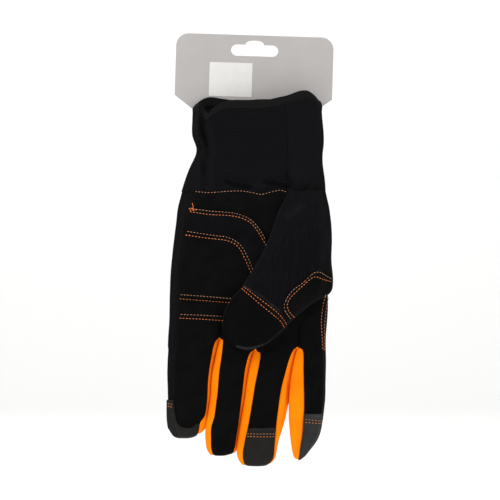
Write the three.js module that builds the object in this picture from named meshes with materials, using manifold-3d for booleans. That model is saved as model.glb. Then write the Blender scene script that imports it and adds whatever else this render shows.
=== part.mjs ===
// A sewn mechanic glove, palm to the front and fingers down, hanging on its header card.
// Millimetres. X runs across the palm, +Z is up and the palm faces -Y.
// The origin is the top of the card's hang slot, in the middle of the card's thickness.
import * as THREE from 'three';
import { mergeVertices } from 'three/addons/utils/BufferGeometryUtils.js';
import Module from 'manifold-3d';

const wasm = await Module();
wasm.setup();

// Driving sizes of the glove.
const handWidth = 107;
const cuffDrop = 41.9;
const cuffLength = 61;
const palmLength = 103;
const palmDepth = 22;
const fingerDepth = 15.5;
const thumbDepth = 12;
const littleFingerLength = 62;
const ringFingerLength = 75;
const middleFingerLength = 82;
const foreFingerLength = 75;
const gloveShift = -3.7;

// Cloth thicknesses and the small distance that neighbouring pieces keep.
const panelWall = 1.1;
const patchWall = 0.8;
const bindingWall = 2;
const bindingHeight = 4.4;
const seamGap = 0.3;
const ribPitch = 2.2;
const ribHeight = 0.35;
const patchRest = 2 * seamGap;
const saddleRest = 3 * seamGap;

// The header card and its fastener.
const cardWidth = 106.8;
const cardDrop = 38.4;
const cardRise = 3.6;
const cardThickness = 0.6;
const cardCorner = 8.4;
const cardTongueWidth = 78;
const cardTongueDrop = 72;
const cardChamferDrop = 10.7;
const cardShift = 0.1;
const cardTilt = 1.8;
const slotWidth = 32;
const slotHeight = 7.7;
const slotBumpWidth = 12.4;
const slotBumpRise = 2.9;
const pinRadius = 1.2;
const pinHeadRadius = 3.5;
const pinHeadThickness = 1;
const pinDrop = 54;
const pinDrillLength = 12;
const roundSides = 12;

// Places worked out from those sizes.
const backY = -(cardThickness / 2 + seamGap);
const wristZ = -(cuffDrop + cuffLength);
const acrossHand = (share) => gloveShift + share * handWidth;

// The cuff from its edge (at 0) to the wrist seam (at 1). Side places are shares of the hand's
// width, and depth is a share of the palm's depth.
const cuffSections = [
  { at: 0.0, left: -0.358, right: 0.455, depth: 0.86 },
  { at: 0.187, left: -0.361, right: 0.463, depth: 0.84 },
  { at: 0.385, left: -0.361, right: 0.469, depth: 0.8 },
  { at: 0.505, left: -0.336, right: 0.466, depth: 0.78 },
  { at: 0.61, left: -0.341, right: 0.459, depth: 0.78 },
  { at: 0.714, left: -0.37, right: 0.464, depth: 0.8 },
  { at: 0.846, left: -0.399, right: 0.474, depth: 0.86 },
  { at: 1.0, left: -0.428, right: 0.48, depth: 0.84 },
];
// The cuff's edge from left to right, as shares of the cuff's length above (+) its nominal top.
const cuffEdge = [
  { at: 0.0, front: -0.07, back: -0.01 },
  { at: 0.055, front: -0.02, back: 0.004 },
  { at: 0.115, front: -0.125, back: 0.016 },
  { at: 0.17, front: -0.075, back: 0.022 },
  { at: 0.22, front: -0.03, back: 0.026 },
  { at: 0.28, front: -0.006, back: 0.028 },
  { at: 0.6, front: 0.012, back: 0.03 },
  { at: 0.78, front: 0.075, back: 0.05 },
  { at: 0.88, front: 0.115, back: 0.07 },
  { at: 0.95, front: 0.05, back: 0.03 },
  { at: 1.0, front: -0.04, back: -0.01 },
];
// The two upright seams of the ribbed panel, as shares along the cuff's front.
const cuffSeams = { left: 0.15, right: 0.725 };
// The binding's section, from the cuff's edge (at 0) down to the binding's lower rim (at 1). out is
// how far it stands proud of the cuff, in millimetres.
const bindingRoll = [
  { at: 0, out: 0.1 },
  { at: 0.3, out: 0.45 },
  { at: 0.75, out: 0.45 },
  { at: 1, out: 0.1 },
];

// The palm from the wrist seam (at 0) to the finger roots (at 1).
const palmSections = [
  { at: 0.0, left: -0.428, seamLeft: -0.344, seamRight: 0.44, right: 0.462, depth: 0.84 },
  { at: 0.124, left: -0.457, seamLeft: -0.386, seamRight: 0.452, right: 0.474, depth: 0.95 },
  { at: 0.301, left: -0.479, seamLeft: -0.415, seamRight: 0.46, right: 0.484, depth: 1.0 },
  { at: 0.497, left: -0.501, seamLeft: -0.435, seamRight: 0.463, right: 0.487, depth: 1.0 },
  { at: 0.699, left: -0.509, seamLeft: -0.447, seamRight: 0.474, right: 0.496, depth: 0.94 },
  { at: 0.85, left: -0.514, seamLeft: -0.456, seamRight: 0.474, right: 0.491, depth: 0.87 },
  { at: 1.0, left: -0.518, seamLeft: -0.47, seamRight: 0.466, right: 0.481, depth: 0.82 },
];

// The clefts between neighbouring fingers, down from the crotch as shares of the longer finger.
// left and right are the front panels' edges, creaseLeft and creaseRight the side walls.
const clefts = [
  {
    name: 'little_ring', x: -0.179, drop: -0.05, length: ringFingerLength,
    rows: [
      { at: 0.0, left: -0.179, creaseLeft: -0.179, creaseRight: -0.179, right: -0.179 },
      { at: 0.03, left: -0.211, creaseLeft: -0.187, creaseRight: -0.182, right: -0.161 },
      { at: 0.08, left: -0.227, creaseLeft: -0.197, creaseRight: -0.192, right: -0.166 },
      { at: 0.22, left: -0.242, creaseLeft: -0.222, creaseRight: -0.217, right: -0.18 },
      { at: 0.4, left: -0.258, creaseLeft: -0.24, creaseRight: -0.235, right: -0.194 },
      { at: 0.6, left: -0.263, creaseLeft: -0.249, creaseRight: -0.244, right: -0.21 },
      { at: 0.8, left: -0.276, creaseLeft: -0.256, creaseRight: -0.251, right: -0.227 },
      { at: 1.0, left: -0.28, creaseLeft: -0.262, creaseRight: -0.257, right: -0.236 },
    ],
  },
  {
    name: 'ring_middle', x: 0.047, drop: 0.026, length: middleFingerLength,
    rows: [
      { at: 0.0, left: 0.047, creaseLeft: 0.047, creaseRight: 0.047, right: 0.047 },
      { at: 0.03, left: 0.011, creaseLeft: 0.032, creaseRight: 0.037, right: 0.067 },
      { at: 0.08, left: -0.009, creaseLeft: 0.016, creaseRight: 0.021, right: 0.068 },
      { at: 0.22, left: -0.026, creaseLeft: -0.006, creaseRight: -0.001, right: 0.048 },
      { at: 0.4, left: -0.043, creaseLeft: -0.029, creaseRight: -0.024, right: 0.024 },
      { at: 0.6, left: -0.059, creaseLeft: -0.048, creaseRight: -0.043, right: -0.003 },
      { at: 0.8, left: -0.08, creaseLeft: -0.065, creaseRight: -0.06, right: -0.033 },
      { at: 1.0, left: -0.085, creaseLeft: -0.07, creaseRight: -0.065, right: -0.041 },
    ],
  },
  {
    name: 'middle_index', x: 0.305, drop: 0.01, length: middleFingerLength,
    rows: [
      { at: 0.0, left: 0.305, creaseLeft: 0.305, creaseRight: 0.305, right: 0.305 },
      { at: 0.03, left: 0.275, creaseLeft: 0.293, creaseRight: 0.298, right: 0.334 },
      { at: 0.08, left: 0.253, creaseLeft: 0.28, creaseRight: 0.285, right: 0.338 },
      { at: 0.22, left: 0.223, creaseLeft: 0.259, creaseRight: 0.264, right: 0.342 },
      { at: 0.4, left: 0.193, creaseLeft: 0.244, creaseRight: 0.251, right: 0.345 },
      { at: 0.6, left: 0.171, creaseLeft: 0.225, creaseRight: 0.245, right: 0.342 },
      { at: 0.8, left: 0.157, creaseLeft: 0.179, creaseRight: 0.253, right: 0.332 },
      { at: 1.0, left: 0.154, creaseLeft: 0.166, creaseRight: 0.261, right: 0.327 },
    ],
  },
];
// The outer edges of the little and index fingers, down each finger.
const littleRim = [
  { at: 0.0, seam: -0.47, side: -0.518 },
  { at: 0.3, seam: -0.477, side: -0.515 },
  { at: 0.5, seam: -0.472, side: -0.511 },
  { at: 0.75, seam: -0.466, side: -0.514 },
  { at: 1.0, seam: -0.462, side: -0.514 },
];
const indexRim = [
  { at: 0.0, seam: 0.466, side: 0.481 },
  { at: 0.3, seam: 0.472, side: 0.482 },
  { at: 0.55, seam: 0.46, side: 0.47 },
  { at: 0.75, seam: 0.444, side: 0.455 },
  { at: 1.0, seam: 0.43, side: 0.442 },
];
// Each finger: the clefts beside it, its tip's place, where its outline starts to round, and how
// much of its width is left at the very tip.
const fingers = [
  {
    name: 'little', length: littleFingerLength, leftCleft: -1, rightCleft: 0,
    tip: -0.383, roundFrom: 0.76, tipWidth: 0.4, patchFrom: 0.6,
  },
  {
    name: 'ring', length: ringFingerLength, leftCleft: 0, rightCleft: 1,
    tip: -0.163, roundFrom: 0.86, tipWidth: 0.7, patchFrom: 0.64,
  },
  {
    name: 'middle', length: middleFingerLength, leftCleft: 1, rightCleft: 2,
    tip: 0.044, roundFrom: 0.88, tipWidth: 0.65, patchFrom: 0.675,
  },
  {
    name: 'index', length: foreFingerLength, leftCleft: 2, rightCleft: -1,
    tip: 0.314, roundFrom: 0.6, tipWidth: 0.2, patchFrom: 0.615,
  },
];
const fingerBulk = [
  { at: 0.0, depth: 1.0 },
  { at: 0.3, depth: 1.0 },
  { at: 0.6, depth: 0.94 },
  { at: 1.0, depth: 0.86 },
];
const fingerRows = [0, 0.025, 0.08, 0.25, 0.43, 0.77, 0.87, 0.93, 0.97, 0.99, 1];
const rowsOf = (finger) => [...fingerRows, finger.patchFrom].sort((a, b) => a - b);
const tipRoundFrom = 0.87;
const tipTurnFrom = 0.95;
const tipOutlinePower = 2.3;
const tipThinPower = 2.2;
const fourchetteEnd = 0.99;
// The little finger's patch wraps its outer side and its tip. Across the finger's front (at 0 to
// 1), from says how far down the finger the patch starts.
const littlePatchEdge = [
  { at: 0, from: 0.6 },
  { at: 0.01, from: 0.75 },
  { at: 0.06, from: 0.83 },
  { at: 0.2, from: 0.885 },
  { at: 0.45, from: 0.905 },
  { at: 0.8, from: 0.915 },
  { at: 1, from: 0.92 },
];

// The thumb lies across the palm, from its root at the wrist (at 0) to its tip (at 1).
// u is a share of the hand's width and v of the palm's length, for its left and right outline.
const thumbSections = [
  { at: 0, leftU: 0.246, leftV: 0.013, rightU: 0.474, rightV: 0.013, depth: 0.15 },
  { at: 0.12, leftU: 0.188, leftV: 0.118, rightU: 0.501, rightV: 0.124, depth: 0.6 },
  { at: 0.27, leftU: 0.138, leftV: 0.255, rightU: 0.513, rightV: 0.288, depth: 0.92 },
  { at: 0.42, leftU: 0.072, leftV: 0.412, rightU: 0.511, rightV: 0.425, depth: 1 },
  { at: 0.47, leftU: 0.041, leftV: 0.464, rightU: 0.516, rightV: 0.516, depth: 1 },
  { at: 0.52, leftU: 0.013, leftV: 0.516, rightU: 0.521, rightV: 0.634, depth: 1 },
  { at: 0.55, leftU: -0.006, leftV: 0.546, rightU: 0.474, rightV: 0.68, depth: 1 },
  { at: 0.58, leftU: -0.022, leftV: 0.572, rightU: 0.386, rightV: 0.732, depth: 1 },
  { at: 0.61, leftU: -0.035, leftV: 0.595, rightU: 0.305, rightV: 0.804, depth: 1 },
  { at: 0.64, leftU: -0.047, leftV: 0.621, rightU: 0.226, rightV: 0.876, depth: 1 },
  { at: 0.72, leftU: -0.088, leftV: 0.67, rightU: 0.173, rightV: 0.922, depth: 0.98 },
  { at: 0.8, leftU: -0.126, leftV: 0.725, rightU: 0.119, rightV: 0.967, depth: 0.92 },
  { at: 0.87, leftU: -0.154, leftV: 0.791, rightU: 0.06, rightV: 1.007, depth: 0.8 },
  { at: 0.93, leftU: -0.163, leftV: 0.863, rightU: 0.003, rightV: 1.029, depth: 0.64 },
  { at: 0.975, leftU: -0.148, leftV: 0.935, rightU: -0.047, rightV: 1.029, depth: 0.4 },
  { at: 1, leftU: -0.126, leftV: 0.974, rightU: -0.082, rightV: 1.013, depth: 0.2 },
];
const thumbSeam = 0.64;
// The opening between the palm and the thumb: in the palm panel as shares of the hand's width and
// the palm's length, and in the thumb's rear wall as shares along and across the thumb.
const palmHole = { top: 0.12, bottom: 0.56, left: 0.22, right: 0.43 };
const thumbHole = { from: 0.12, to: 0.47, left: 0.2, right: 0.91 };

// Seam lines on the palm, in the same shares, that bound its two sewn-on patches.
const bandTop = [
  [-0.38, 0.109], [-0.231, 0.127], [-0.06, 0.157], [0.046, 0.222], [0.104, 0.32], [0.141, 0.431],
];
const padTop = [
  [-0.399, 0.262], [-0.236, 0.291], [-0.085, 0.327], [-0.025, 0.41], [0.008, 0.503], [0.03, 0.601],
];
const padBottom = [
  [-0.435, 0.68], [-0.32, 0.69], [-0.2, 0.7], [-0.1, 0.705], [-0.03, 0.71], [0.03, 0.715],
];

// Folds: a dent in the front, at u across the hand and drop below the cuff's edge, both as
// shares, with its reach across and along and its depth in shares of the palm's depth.
const folds = [
  { u: -0.285, drop: 0.32, across: 0.018, along: 0.3, depth: 0.2 },
  { u: 0.255, drop: 0.85, across: 0.02, along: 0.1, depth: 0.14 },
  { u: -0.07, drop: 0.92, across: 0.07, along: 0.035, depth: 0.1 },
  { u: 0.19, drop: 0.93, across: 0.06, along: 0.035, depth: 0.1 },
  { u: 0.4, drop: 0.86, across: 0.03, along: 0.06, depth: 0.08 },
];

// Small helpers for numbers and tables.
const mix = (a, b, t) => a + (b - a) * t;
const clamp01 = (t) => Math.min(1, Math.max(0, t));
const ease = (from, to, t) => {
  const s = clamp01((t - from) / (to - from));
  return s * s * (3 - 2 * s);
};
const arch = (t, power) => Math.pow(Math.max(0, 1 - Math.pow(Math.abs(2 * t - 1), power)), 1 / power);
const roundOff = (t, power) => Math.pow(Math.max(0, 1 - Math.pow(t, power)), 1 / power);

// A table's column at a place, on a smooth curve through its rows.
function track(rows, column, at) {
  const last = rows.length - 1;
  let i = 0;
  while (i < last - 1 && at > rows[i + 1].at) i += 1;
  const slope = (k) => {
    const a = rows[Math.max(0, k - 1)];
    const b = rows[Math.min(last, k + 1)];
    return (b[column] - a[column]) / (b.at - a.at);
  };
  const a = rows[i];
  const b = rows[i + 1];
  const span = b.at - a.at;
  const t = clamp01((at - a.at) / span);
  const bend = t * (1 - t) * span;
  const straight = mix(a[column], b[column], t * t * (3 - 2 * t));
  return straight + bend * (slope(i) * (1 - t) - slope(i + 1) * t);
}

// A point along a line of [u, v] pairs, by share of its corners.
function along(line, t) {
  const place = clamp01(t) * (line.length - 1);
  const i = Math.min(line.length - 2, Math.floor(place));
  const rows = line.map(([u, v], k) => ({ at: k, u, v }));
  return [track(rows, 'u', i + (place - i)), track(rows, 'v', i + (place - i))];
}

// A ring is one level of the glove: front arc, right side, back arc and left side. Front and
// back are Y planes, and edgeLeft and edgeRight say how far forward the front seams sit.
const frontCrown = 2.6;
const backCrown = 4;
const thumbCrown = 2.2;
// How far forward the front seams sit, and how far back the back seams, as shares of the half
// depth, and how far the seams sit in from the sides, as shares of the width.
const seamForward = { edge: 0.2, left: 0.6, right: 0.35, cleft: 0.5 };
const seamBack = 0.45;
const seamInset = { edge: 0.015, left: 0.093, right: 0.025, back: 0.03 };
const cuffTurnFrom = 0.6;
const frontArc = (ring, s) => {
  const edge = mix(ring.yLeft, ring.yRight, s);
  return { x: mix(ring.seamLeft, ring.seamRight, s), y: edge + (ring.front - edge) * arch(s, frontCrown) };
};
const backArc = (ring, s) => ({
  x: mix(ring.backLeft, ring.backRight, s),
  y: ring.yBack + (ring.back - ring.yBack) * arch(s, backCrown),
});
const sideArc = (from, to, side, w) => {
  const turn = Math.PI * w;
  return {
    x: mix(from.x, to.x, w) + (side - mix(from.x, to.x, w)) * Math.sin(turn),
    y: mix(from.y, to.y, (1 - Math.cos(turn)) / 2),
  };
};
const rightArc = (ring, w) => sideArc(frontArc(ring, 1), backArc(ring, 1), ring.right, w);
const leftArc = (ring, w) => sideArc(frontArc(ring, 0), backArc(ring, 0), ring.left, w);

function makeRing(size) {
  const middle = (size.front + backY - (size.lift ?? 0)) / 2;
  const half = (backY - (size.lift ?? 0) - size.front) / 2;
  return {
    ...size,
    back: backY - (size.lift ?? 0),
    middle,
    half,
    yLeft: middle - half * size.edgeLeft,
    yRight: middle - half * size.edgeRight,
    yBack: middle + half * seamBack,
  };
}

function cuffRing(at) {
  const left = acrossHand(track(cuffSections, 'left', at));
  const right = acrossHand(track(cuffSections, 'right', at));
  const wide = right - left;
  const low = ease(cuffTurnFrom, 1, at);
  return makeRing({
    left,
    right,
    seamLeft: left + wide * mix(seamInset.edge, seamInset.left, low),
    seamRight: right - wide * mix(seamInset.edge, seamInset.right, low),
    backLeft: left + wide * seamInset.back,
    backRight: right - wide * seamInset.back,
    front: backY - palmDepth * track(cuffSections, 'depth', at),
    edgeLeft: mix(seamForward.edge, seamForward.left, low),
    edgeRight: mix(seamForward.edge, seamForward.right, low),
  });
}

function palmRing(at) {
  const left = acrossHand(track(palmSections, 'left', at));
  const right = acrossHand(track(palmSections, 'right', at));
  return makeRing({
    left,
    right,
    seamLeft: acrossHand(track(palmSections, 'seamLeft', at)),
    seamRight: acrossHand(track(palmSections, 'seamRight', at)),
    backLeft: left + (right - left) * seamInset.back,
    backRight: right - (right - left) * seamInset.back,
    front: backY - palmDepth * track(palmSections, 'depth', at),
    edgeLeft: seamForward.left,
    edgeRight: seamForward.right,
  });
}

const crotchZ = (cleft) => wristZ - palmLength * (1 + cleft.drop);
const rootZ = wristZ - palmLength;

// One level of a finger, at a share of its length.
function fingerRing(finger, at) {
  const leftCleft = clefts[finger.leftCleft];
  const rightCleft = clefts[finger.rightCleft];
  const tipZ = rootZ - finger.length;
  const topLeft = leftCleft ? crotchZ(leftCleft) : rootZ;
  const topRight = rightCleft ? crotchZ(rightCleft) : rootZ;
  const cleftEdge = (cleft, column, top) => track(cleft.rows, column, ((top - tipZ) * at) / cleft.length);
  const edges = {
    seamLeft: leftCleft ? cleftEdge(leftCleft, 'right', topLeft) : track(littleRim, 'seam', at),
    left: leftCleft ? cleftEdge(leftCleft, 'creaseRight', topLeft) : track(littleRim, 'side', at),
    seamRight: rightCleft ? cleftEdge(rightCleft, 'left', topRight) : track(indexRim, 'seam', at),
    right: rightCleft ? cleftEdge(rightCleft, 'creaseLeft', topRight) : track(indexRim, 'side', at),
  };
  const narrow = clamp01((at - finger.roundFrom) / (1 - finger.roundFrom));
  const width = mix(finger.tipWidth, 1, roundOff(narrow, tipOutlinePower));
  const place = (name) => acrossHand(finger.tip + (edges[name] - finger.tip) * width);
  const thin = clamp01((at - tipRoundFrom) / (1 - tipRoundFrom));
  const bulk = fingerDepth * track(fingerBulk, 'depth', at);
  const depth = Math.max(bulk * roundOff(thin, tipThinPower), 2 * seamGap);
  const lift = (bulk - depth) / 2;
  const seamLeft = place('seamLeft');
  const seamRight = place('seamRight');
  const ring = makeRing({
    left: place('left'),
    right: place('right'),
    seamLeft,
    seamRight,
    backLeft: seamLeft,
    backRight: seamRight,
    lift,
    front: backY - lift - depth,
    edgeLeft: leftCleft ? seamForward.cleft : seamForward.left,
    edgeRight: rightCleft ? seamForward.cleft : seamForward.right,
  });
  ring.tipness = ease(tipTurnFrom, 1, at);
  ring.levelLeft = mix(topLeft, tipZ, at);
  ring.levelRight = mix(topRight, tipZ, at);
  return ring;
}

// The inner face of the wall behind a point of a ring: towards the ring's middle, and at a
// fingertip up into the finger.
function inward(ring, point, wall) {
  const centre = (ring.left + ring.right) / 2;
  const reach = (ring.right - ring.left) / 2;
  const tipness = ring.tipness ?? 0;
  const x = centre + (point.x - centre) * (1 - wall / reach);
  const fromMiddle = point.y - ring.middle;
  const shrunk = Math.abs(fromMiddle) * Math.max(0, 1 - wall / ring.half);
  const least = Math.min(Math.abs(fromMiddle), seamGap / 2);
  const y = ring.middle + Math.sign(fromMiddle) * Math.max(shrunk, least);
  return [x, y, point.z + wall * tipness];
}

// Where an arc is trimmed so that its edge stands off the seam by a little more than half the gap.
const trimShare = 0.6;
const trimStep = 0.0005;
function trimmed(arc, ring) {
  const walk = (from, sign) => {
    let s = from;
    let length = 0;
    let before = arc(ring, s);
    while (length < seamGap * trimShare) {
      s += sign * trimStep;
      const here = arc(ring, s);
      length += Math.hypot(here.x - before.x, here.y - before.y);
      before = here;
    }
    return s;
  };
  return [walk(0, 1), walk(1, -1)];
}

// A sheet of cloth is collected as outer points with their inner partners, and closed by
// joining the two faces along every free edge.
class Sheet {
  constructor() {
    this.outer = [];
    this.inner = [];
    this.keys = new Map();
    this.triangles = [];
  }

  point(key, outer, inner) {
    if (!this.keys.has(key)) {
      this.keys.set(key, this.outer.length);
      this.outer.push(outer);
      this.inner.push(inner);
    }
    return this.keys.get(key);
  }

  // Rows of point numbers run down and columns run to the right, seen from outside.
  grid(rows, skip = () => false) {
    for (let r = 0; r < rows.length - 1; r += 1) {
      for (let c = 0; c < rows[r].length - 1; c += 1) {
        if (skip(r, c)) continue;
        const [a, b, d, e] = [rows[r][c], rows[r + 1][c], rows[r + 1][c + 1], rows[r][c + 1]];
        if (a !== b && b !== d && a !== d) this.triangles.push([a, b, d]);
        if (a !== d && d !== e && a !== e) this.triangles.push([a, d, e]);
      }
    }
  }

  geometry() {
    const count = this.outer.length;
    const edges = new Set();
    const faces = [];
    for (const [a, b, c] of this.triangles) {
      faces.push([a, b, c], [a + count, c + count, b + count]);
      for (const [p, q] of [[a, b], [b, c], [c, a]]) edges.add(`${p},${q}`);
    }
    for (const edge of edges) {
      const [p, q] = edge.split(',').map(Number);
      if (!edges.has(`${q},${p}`)) faces.push([q, p, p + count], [q, p + count, q + count]);
    }
    const geometry = new THREE.BufferGeometry();
    const positions = [...this.outer, ...this.inner].flat();
    geometry.setAttribute('position', new THREE.Float32BufferAttribute(positions, 3));
    geometry.setIndex(faces.flat());
    return geometry;
  }
}

const group = new THREE.Group();

function addPiece(name, geometry, colour, roughness) {
  geometry.computeVertexNormals();
  const material = new THREE.MeshStandardMaterial({ color: colour, roughness, metalness: 0 });
  const mesh = new THREE.Mesh(geometry, material);
  mesh.name = name;
  group.add(mesh);
}

const cloth = { palm: 0x101011, knit: 0x19191c, elastic: 0x202023, binding: 0x1f1f1e };
const orange = 0xff8a12;
const charcoal = 0x2c2b2b;

// How far the front is pushed in by the folds at a place.
function foldDepth(x, z) {
  const whole = cuffLength + palmLength;
  let depth = 0;
  for (const fold of folds) {
    const across = (x - acrossHand(fold.u)) / (fold.across * handWidth);
    const down = (-cuffDrop - z - fold.drop * cuffLength) / (fold.along * whole);
    depth += fold.depth * palmDepth * Math.exp(-across * across - down * down);
  }
  return depth;
}

// The cuff: a ribbed elastic panel in front and a plain panel round the rest.
const cuffBottom = wristZ + seamGap / 2;
const cuffColumns = { ribbed: 5, frontRight: 5, side: 4, back: 6, frontLeft: 4 };
const ribRows = 2 * Math.round(cuffLength / ribPitch);

function cuffTop(x, back) {
  const ring = cuffRing(0);
  const share = clamp01((x - ring.left) / (ring.right - ring.left));
  return -cuffDrop + cuffLength * track(cuffEdge, back ? 'back' : 'front', share);
}

// A point of the cuff's ring at a share of the way down, where turn gives the arc and place. The
// front's edge turns into the back's over the middle of the cuff's depth.
const edgeTurn = { from: 0.2, to: 0.8 };
function cuffPoint(turn, down, wall, rib, drop) {
  const arcs = { front: frontArc, right: rightArc, back: backArc, left: leftArc };
  const top = cuffRing(0);
  const above = arcs[turn.arc](top, turn.s);
  const forward = clamp01((backY - above.y) / (backY - top.front));
  const frontShare = ease(edgeTurn.from, edgeTurn.to, forward);
  const topZ = mix(cuffTop(above.x, true), cuffTop(above.x, false), frontShare) - drop;
  const z = mix(topZ, cuffBottom, down);
  const ring = cuffRing(clamp01((-cuffDrop - z) / cuffLength));
  const flat = arcs[turn.arc](ring, turn.s);
  const dent = turn.arc === 'front' ? foldDepth(flat.x, z) : 0;
  const point = { x: flat.x, y: flat.y + dent - rib, z };
  return { outer: [point.x, point.y, point.z], inner: inward(ring, point, wall) };
}

const spread = (arc, from, to, count) => {
  const turns = [];
  for (let i = 0; i <= count; i += 1) turns.push({ arc, s: mix(from, to, i / count) });
  return turns;
};
const cuffWidthShare = 0.8;
const cuffTrim = seamGap / (2 * cuffWidthShare * handWidth);
const ribbedFrom = cuffSeams.left + cuffTrim;
const ribbedTo = cuffSeams.right - cuffTrim;
const ribbedTurns = spread('front', ribbedFrom, ribbedTo, cuffColumns.ribbed);
const sidesAndBack = [
  ...spread('right', 0, 1, cuffColumns.side),
  ...spread('back', 1, 0, cuffColumns.back).slice(1),
  ...spread('left', 1, 0, cuffColumns.side).slice(1),
];
const rightTurns = spread('front', cuffSeams.right + cuffTrim, 1, cuffColumns.frontRight);
const leftTurns = spread('front', 0, cuffSeams.left - cuffTrim, cuffColumns.frontLeft);
const plainTurns = [...rightTurns, ...sidesAndBack.slice(1), ...leftTurns.slice(1)];

function cuffPanel(turns, rowCount, ribOf) {
  const sheet = new Sheet();
  const rows = [];
  const edgeDrop = bindingHeight + seamGap;
  for (let r = 0; r <= rowCount; r += 1) {
    rows.push(turns.map((turn, c) => {
      const { outer, inner } = cuffPoint(turn, r / rowCount, panelWall, ribOf(r), edgeDrop);
      return sheet.point(`${r}:${c}`, outer, inner);
    }));
  }
  sheet.grid(rows);
  return sheet.geometry();
}

const ribAt = (r) => (r % 2 ? ribHeight : 0);
addPiece('cuff_elastic_panel', cuffPanel(ribbedTurns, ribRows, ribAt), cloth.elastic, 0.9);

// The fastener's place: through the card and the cuff's back wall.
const pinX = acrossHand(0.05);
const pinZ = -pinDrop;
const innerBackY = backY - panelWall;
const pinHoleRadius = pinRadius + seamGap;

function asSolid(geometry) {
  const bare = geometry.clone();
  bare.deleteAttribute('normal');
  bare.deleteAttribute('uv');
  const merged = mergeVertices(bare, 1e-4);
  return new wasm.Manifold(new wasm.Mesh({
    numProp: 3,
    vertProperties: new Float32Array(merged.attributes.position.array),
    triVerts: new Uint32Array(merged.index.array),
  }));
}

function asGeometry(solid) {
  const mesh = solid.getMesh();
  const geometry = new THREE.BufferGeometry();
  geometry.setAttribute('position', new THREE.Float32BufferAttribute(mesh.vertProperties, 3));
  geometry.setIndex(Array.from(mesh.triVerts));
  return geometry;
}

const pinDrill = new THREE.CylinderGeometry(pinHoleRadius, pinHoleRadius, pinDrillLength, roundSides);
pinDrill.translate(pinX, 0, pinZ);
const plainRows = 9;
const plainCuff = asSolid(cuffPanel(plainTurns, plainRows, () => 0));
addPiece('cuff_plain_panel', asGeometry(plainCuff.subtract(asSolid(pinDrill))), cloth.knit, 0.95);

// The binding folded over the cuff's edge: a thicker band all the way round, with its columns over
// the panels' own.
function cuffBinding() {
  const sheet = new Sheet();
  const turns = [...leftTurns, ...ribbedTurns, ...rightTurns.slice(0, -1), ...sidesAndBack.slice(0, -1)];
  const rows = bindingRoll.map((row, r) => turns.map((turn, c) => {
    const [x, y, z] = cuffPoint(turn, 0, panelWall, 0, row.at * bindingHeight).outer;
    const ring = cuffRing(clamp01((-cuffDrop - z) / cuffLength));
    const base = { x, y, z };
    const proud = inward(ring, base, -row.out);
    const rolled = [proud[0], Math.min(proud[1], backY), z];
    return sheet.point(`${r}:${c}`, rolled, inward(ring, base, bindingWall));
  }));
  for (const row of rows) row.push(row[0]);
  sheet.grid(rows);
  return sheet.geometry();
}
addPiece('cuff_binding', cuffBinding(), cloth.binding, 0.85);

// Columns across a finger's width, closer together at its edges.
const stripColumns = { little: 7, ring: 5, middle: 5, index: 5 };
const stripPlaces = (count) => {
  const places = [];
  for (let i = 0; i <= count; i += 1) places.push((1 - Math.cos((Math.PI * i) / count)) / 2);
  return places;
};
const palmRows = [0, 0.06, 0.12, 0.24, 0.4, 0.56, 0.68, 0.8, 0.91, 1];
const palmTopZ = wristZ - seamGap / 2;
const rootBlend = 0.78;
const foldFade = 0.3;

// Where a finger's strip starts and ends, as shares of the palm's front or back at the roots.
function stripEdges(side) {
  const ring = palmRing(1);
  const [from, to] = side === 'front' ? [ring.seamLeft, ring.seamRight] : [ring.backLeft, ring.backRight];
  const cuts = clefts.map((cleft) => (acrossHand(cleft.x) - from) / (to - from));
  return [0, ...cuts, 1];
}

// A point on the palm's front or back, at a strip's column and a share of the way down.
function palmPoint(side, fingerIndex, place, at, wall) {
  const finger = fingers[fingerIndex];
  const arc = side === 'front' ? frontArc : backArc;
  const edges = stripEdges(side);
  const ring = palmRing(at);
  const root = fingerRing(finger, 0);
  const [low, high] = trimmed(arc, ring);
  const s = Math.min(high, Math.max(low, mix(edges[fingerIndex], edges[fingerIndex + 1], place)));
  const [rootLow, rootHigh] = trimmed(arc, root);
  const outerEdge = (fingerIndex === 0 && place === 0) || (fingerIndex === 3 && place === 1);
  const rootShare = outerEdge ? Math.min(rootHigh, Math.max(rootLow, place)) : place;
  const flat = arc(ring, s);
  const lobe = arc(root, rootShare);
  const blend = ease(rootBlend, 1, at);
  const bottomZ = mix(root.levelLeft, root.levelRight, place);
  const z = mix(palmTopZ, bottomZ, at);
  const dent = side === 'front' ? foldDepth(flat.x, z) * (1 - ease(0, foldFade, at)) : 0;
  const x = mix(flat.x, lobe.x, blend);
  const point = { x, y: mix(flat.y, lobe.y, blend) + dent, z };
  const palmInner = inward(ring, point, wall);
  const fingerInner = inward(root, point, wall);
  const shared = at === 1 && !outerEdge && (place === 0 || place === 1);
  const inner = [0, 1, 2].map((k) => mix(palmInner[k], fingerInner[k], blend));
  if (shared) inner[0] = point.x;
  return { outer: [point.x, point.y, point.z], inner };
}

// A point on one arc of a finger's ring.
function fingerPoint(ring, arc, s, place, wall) {
  const flat = arc(ring, s);
  const point = { x: flat.x, y: flat.y, z: mix(ring.levelLeft, ring.levelRight, place) };
  return { outer: [point.x, point.y, point.z], inner: inward(ring, point, wall) };
}

// The name of a palm point. Neighbouring strips share the points along their common line.
function palmKey(row, strip, column, lastColumn) {
  if (column === 0 && strip > 0) return `p:${row}:${strip - 1}:end`;
  return `p:${row}:${strip}:${column === lastColumn ? 'end' : column}`;
}

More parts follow.
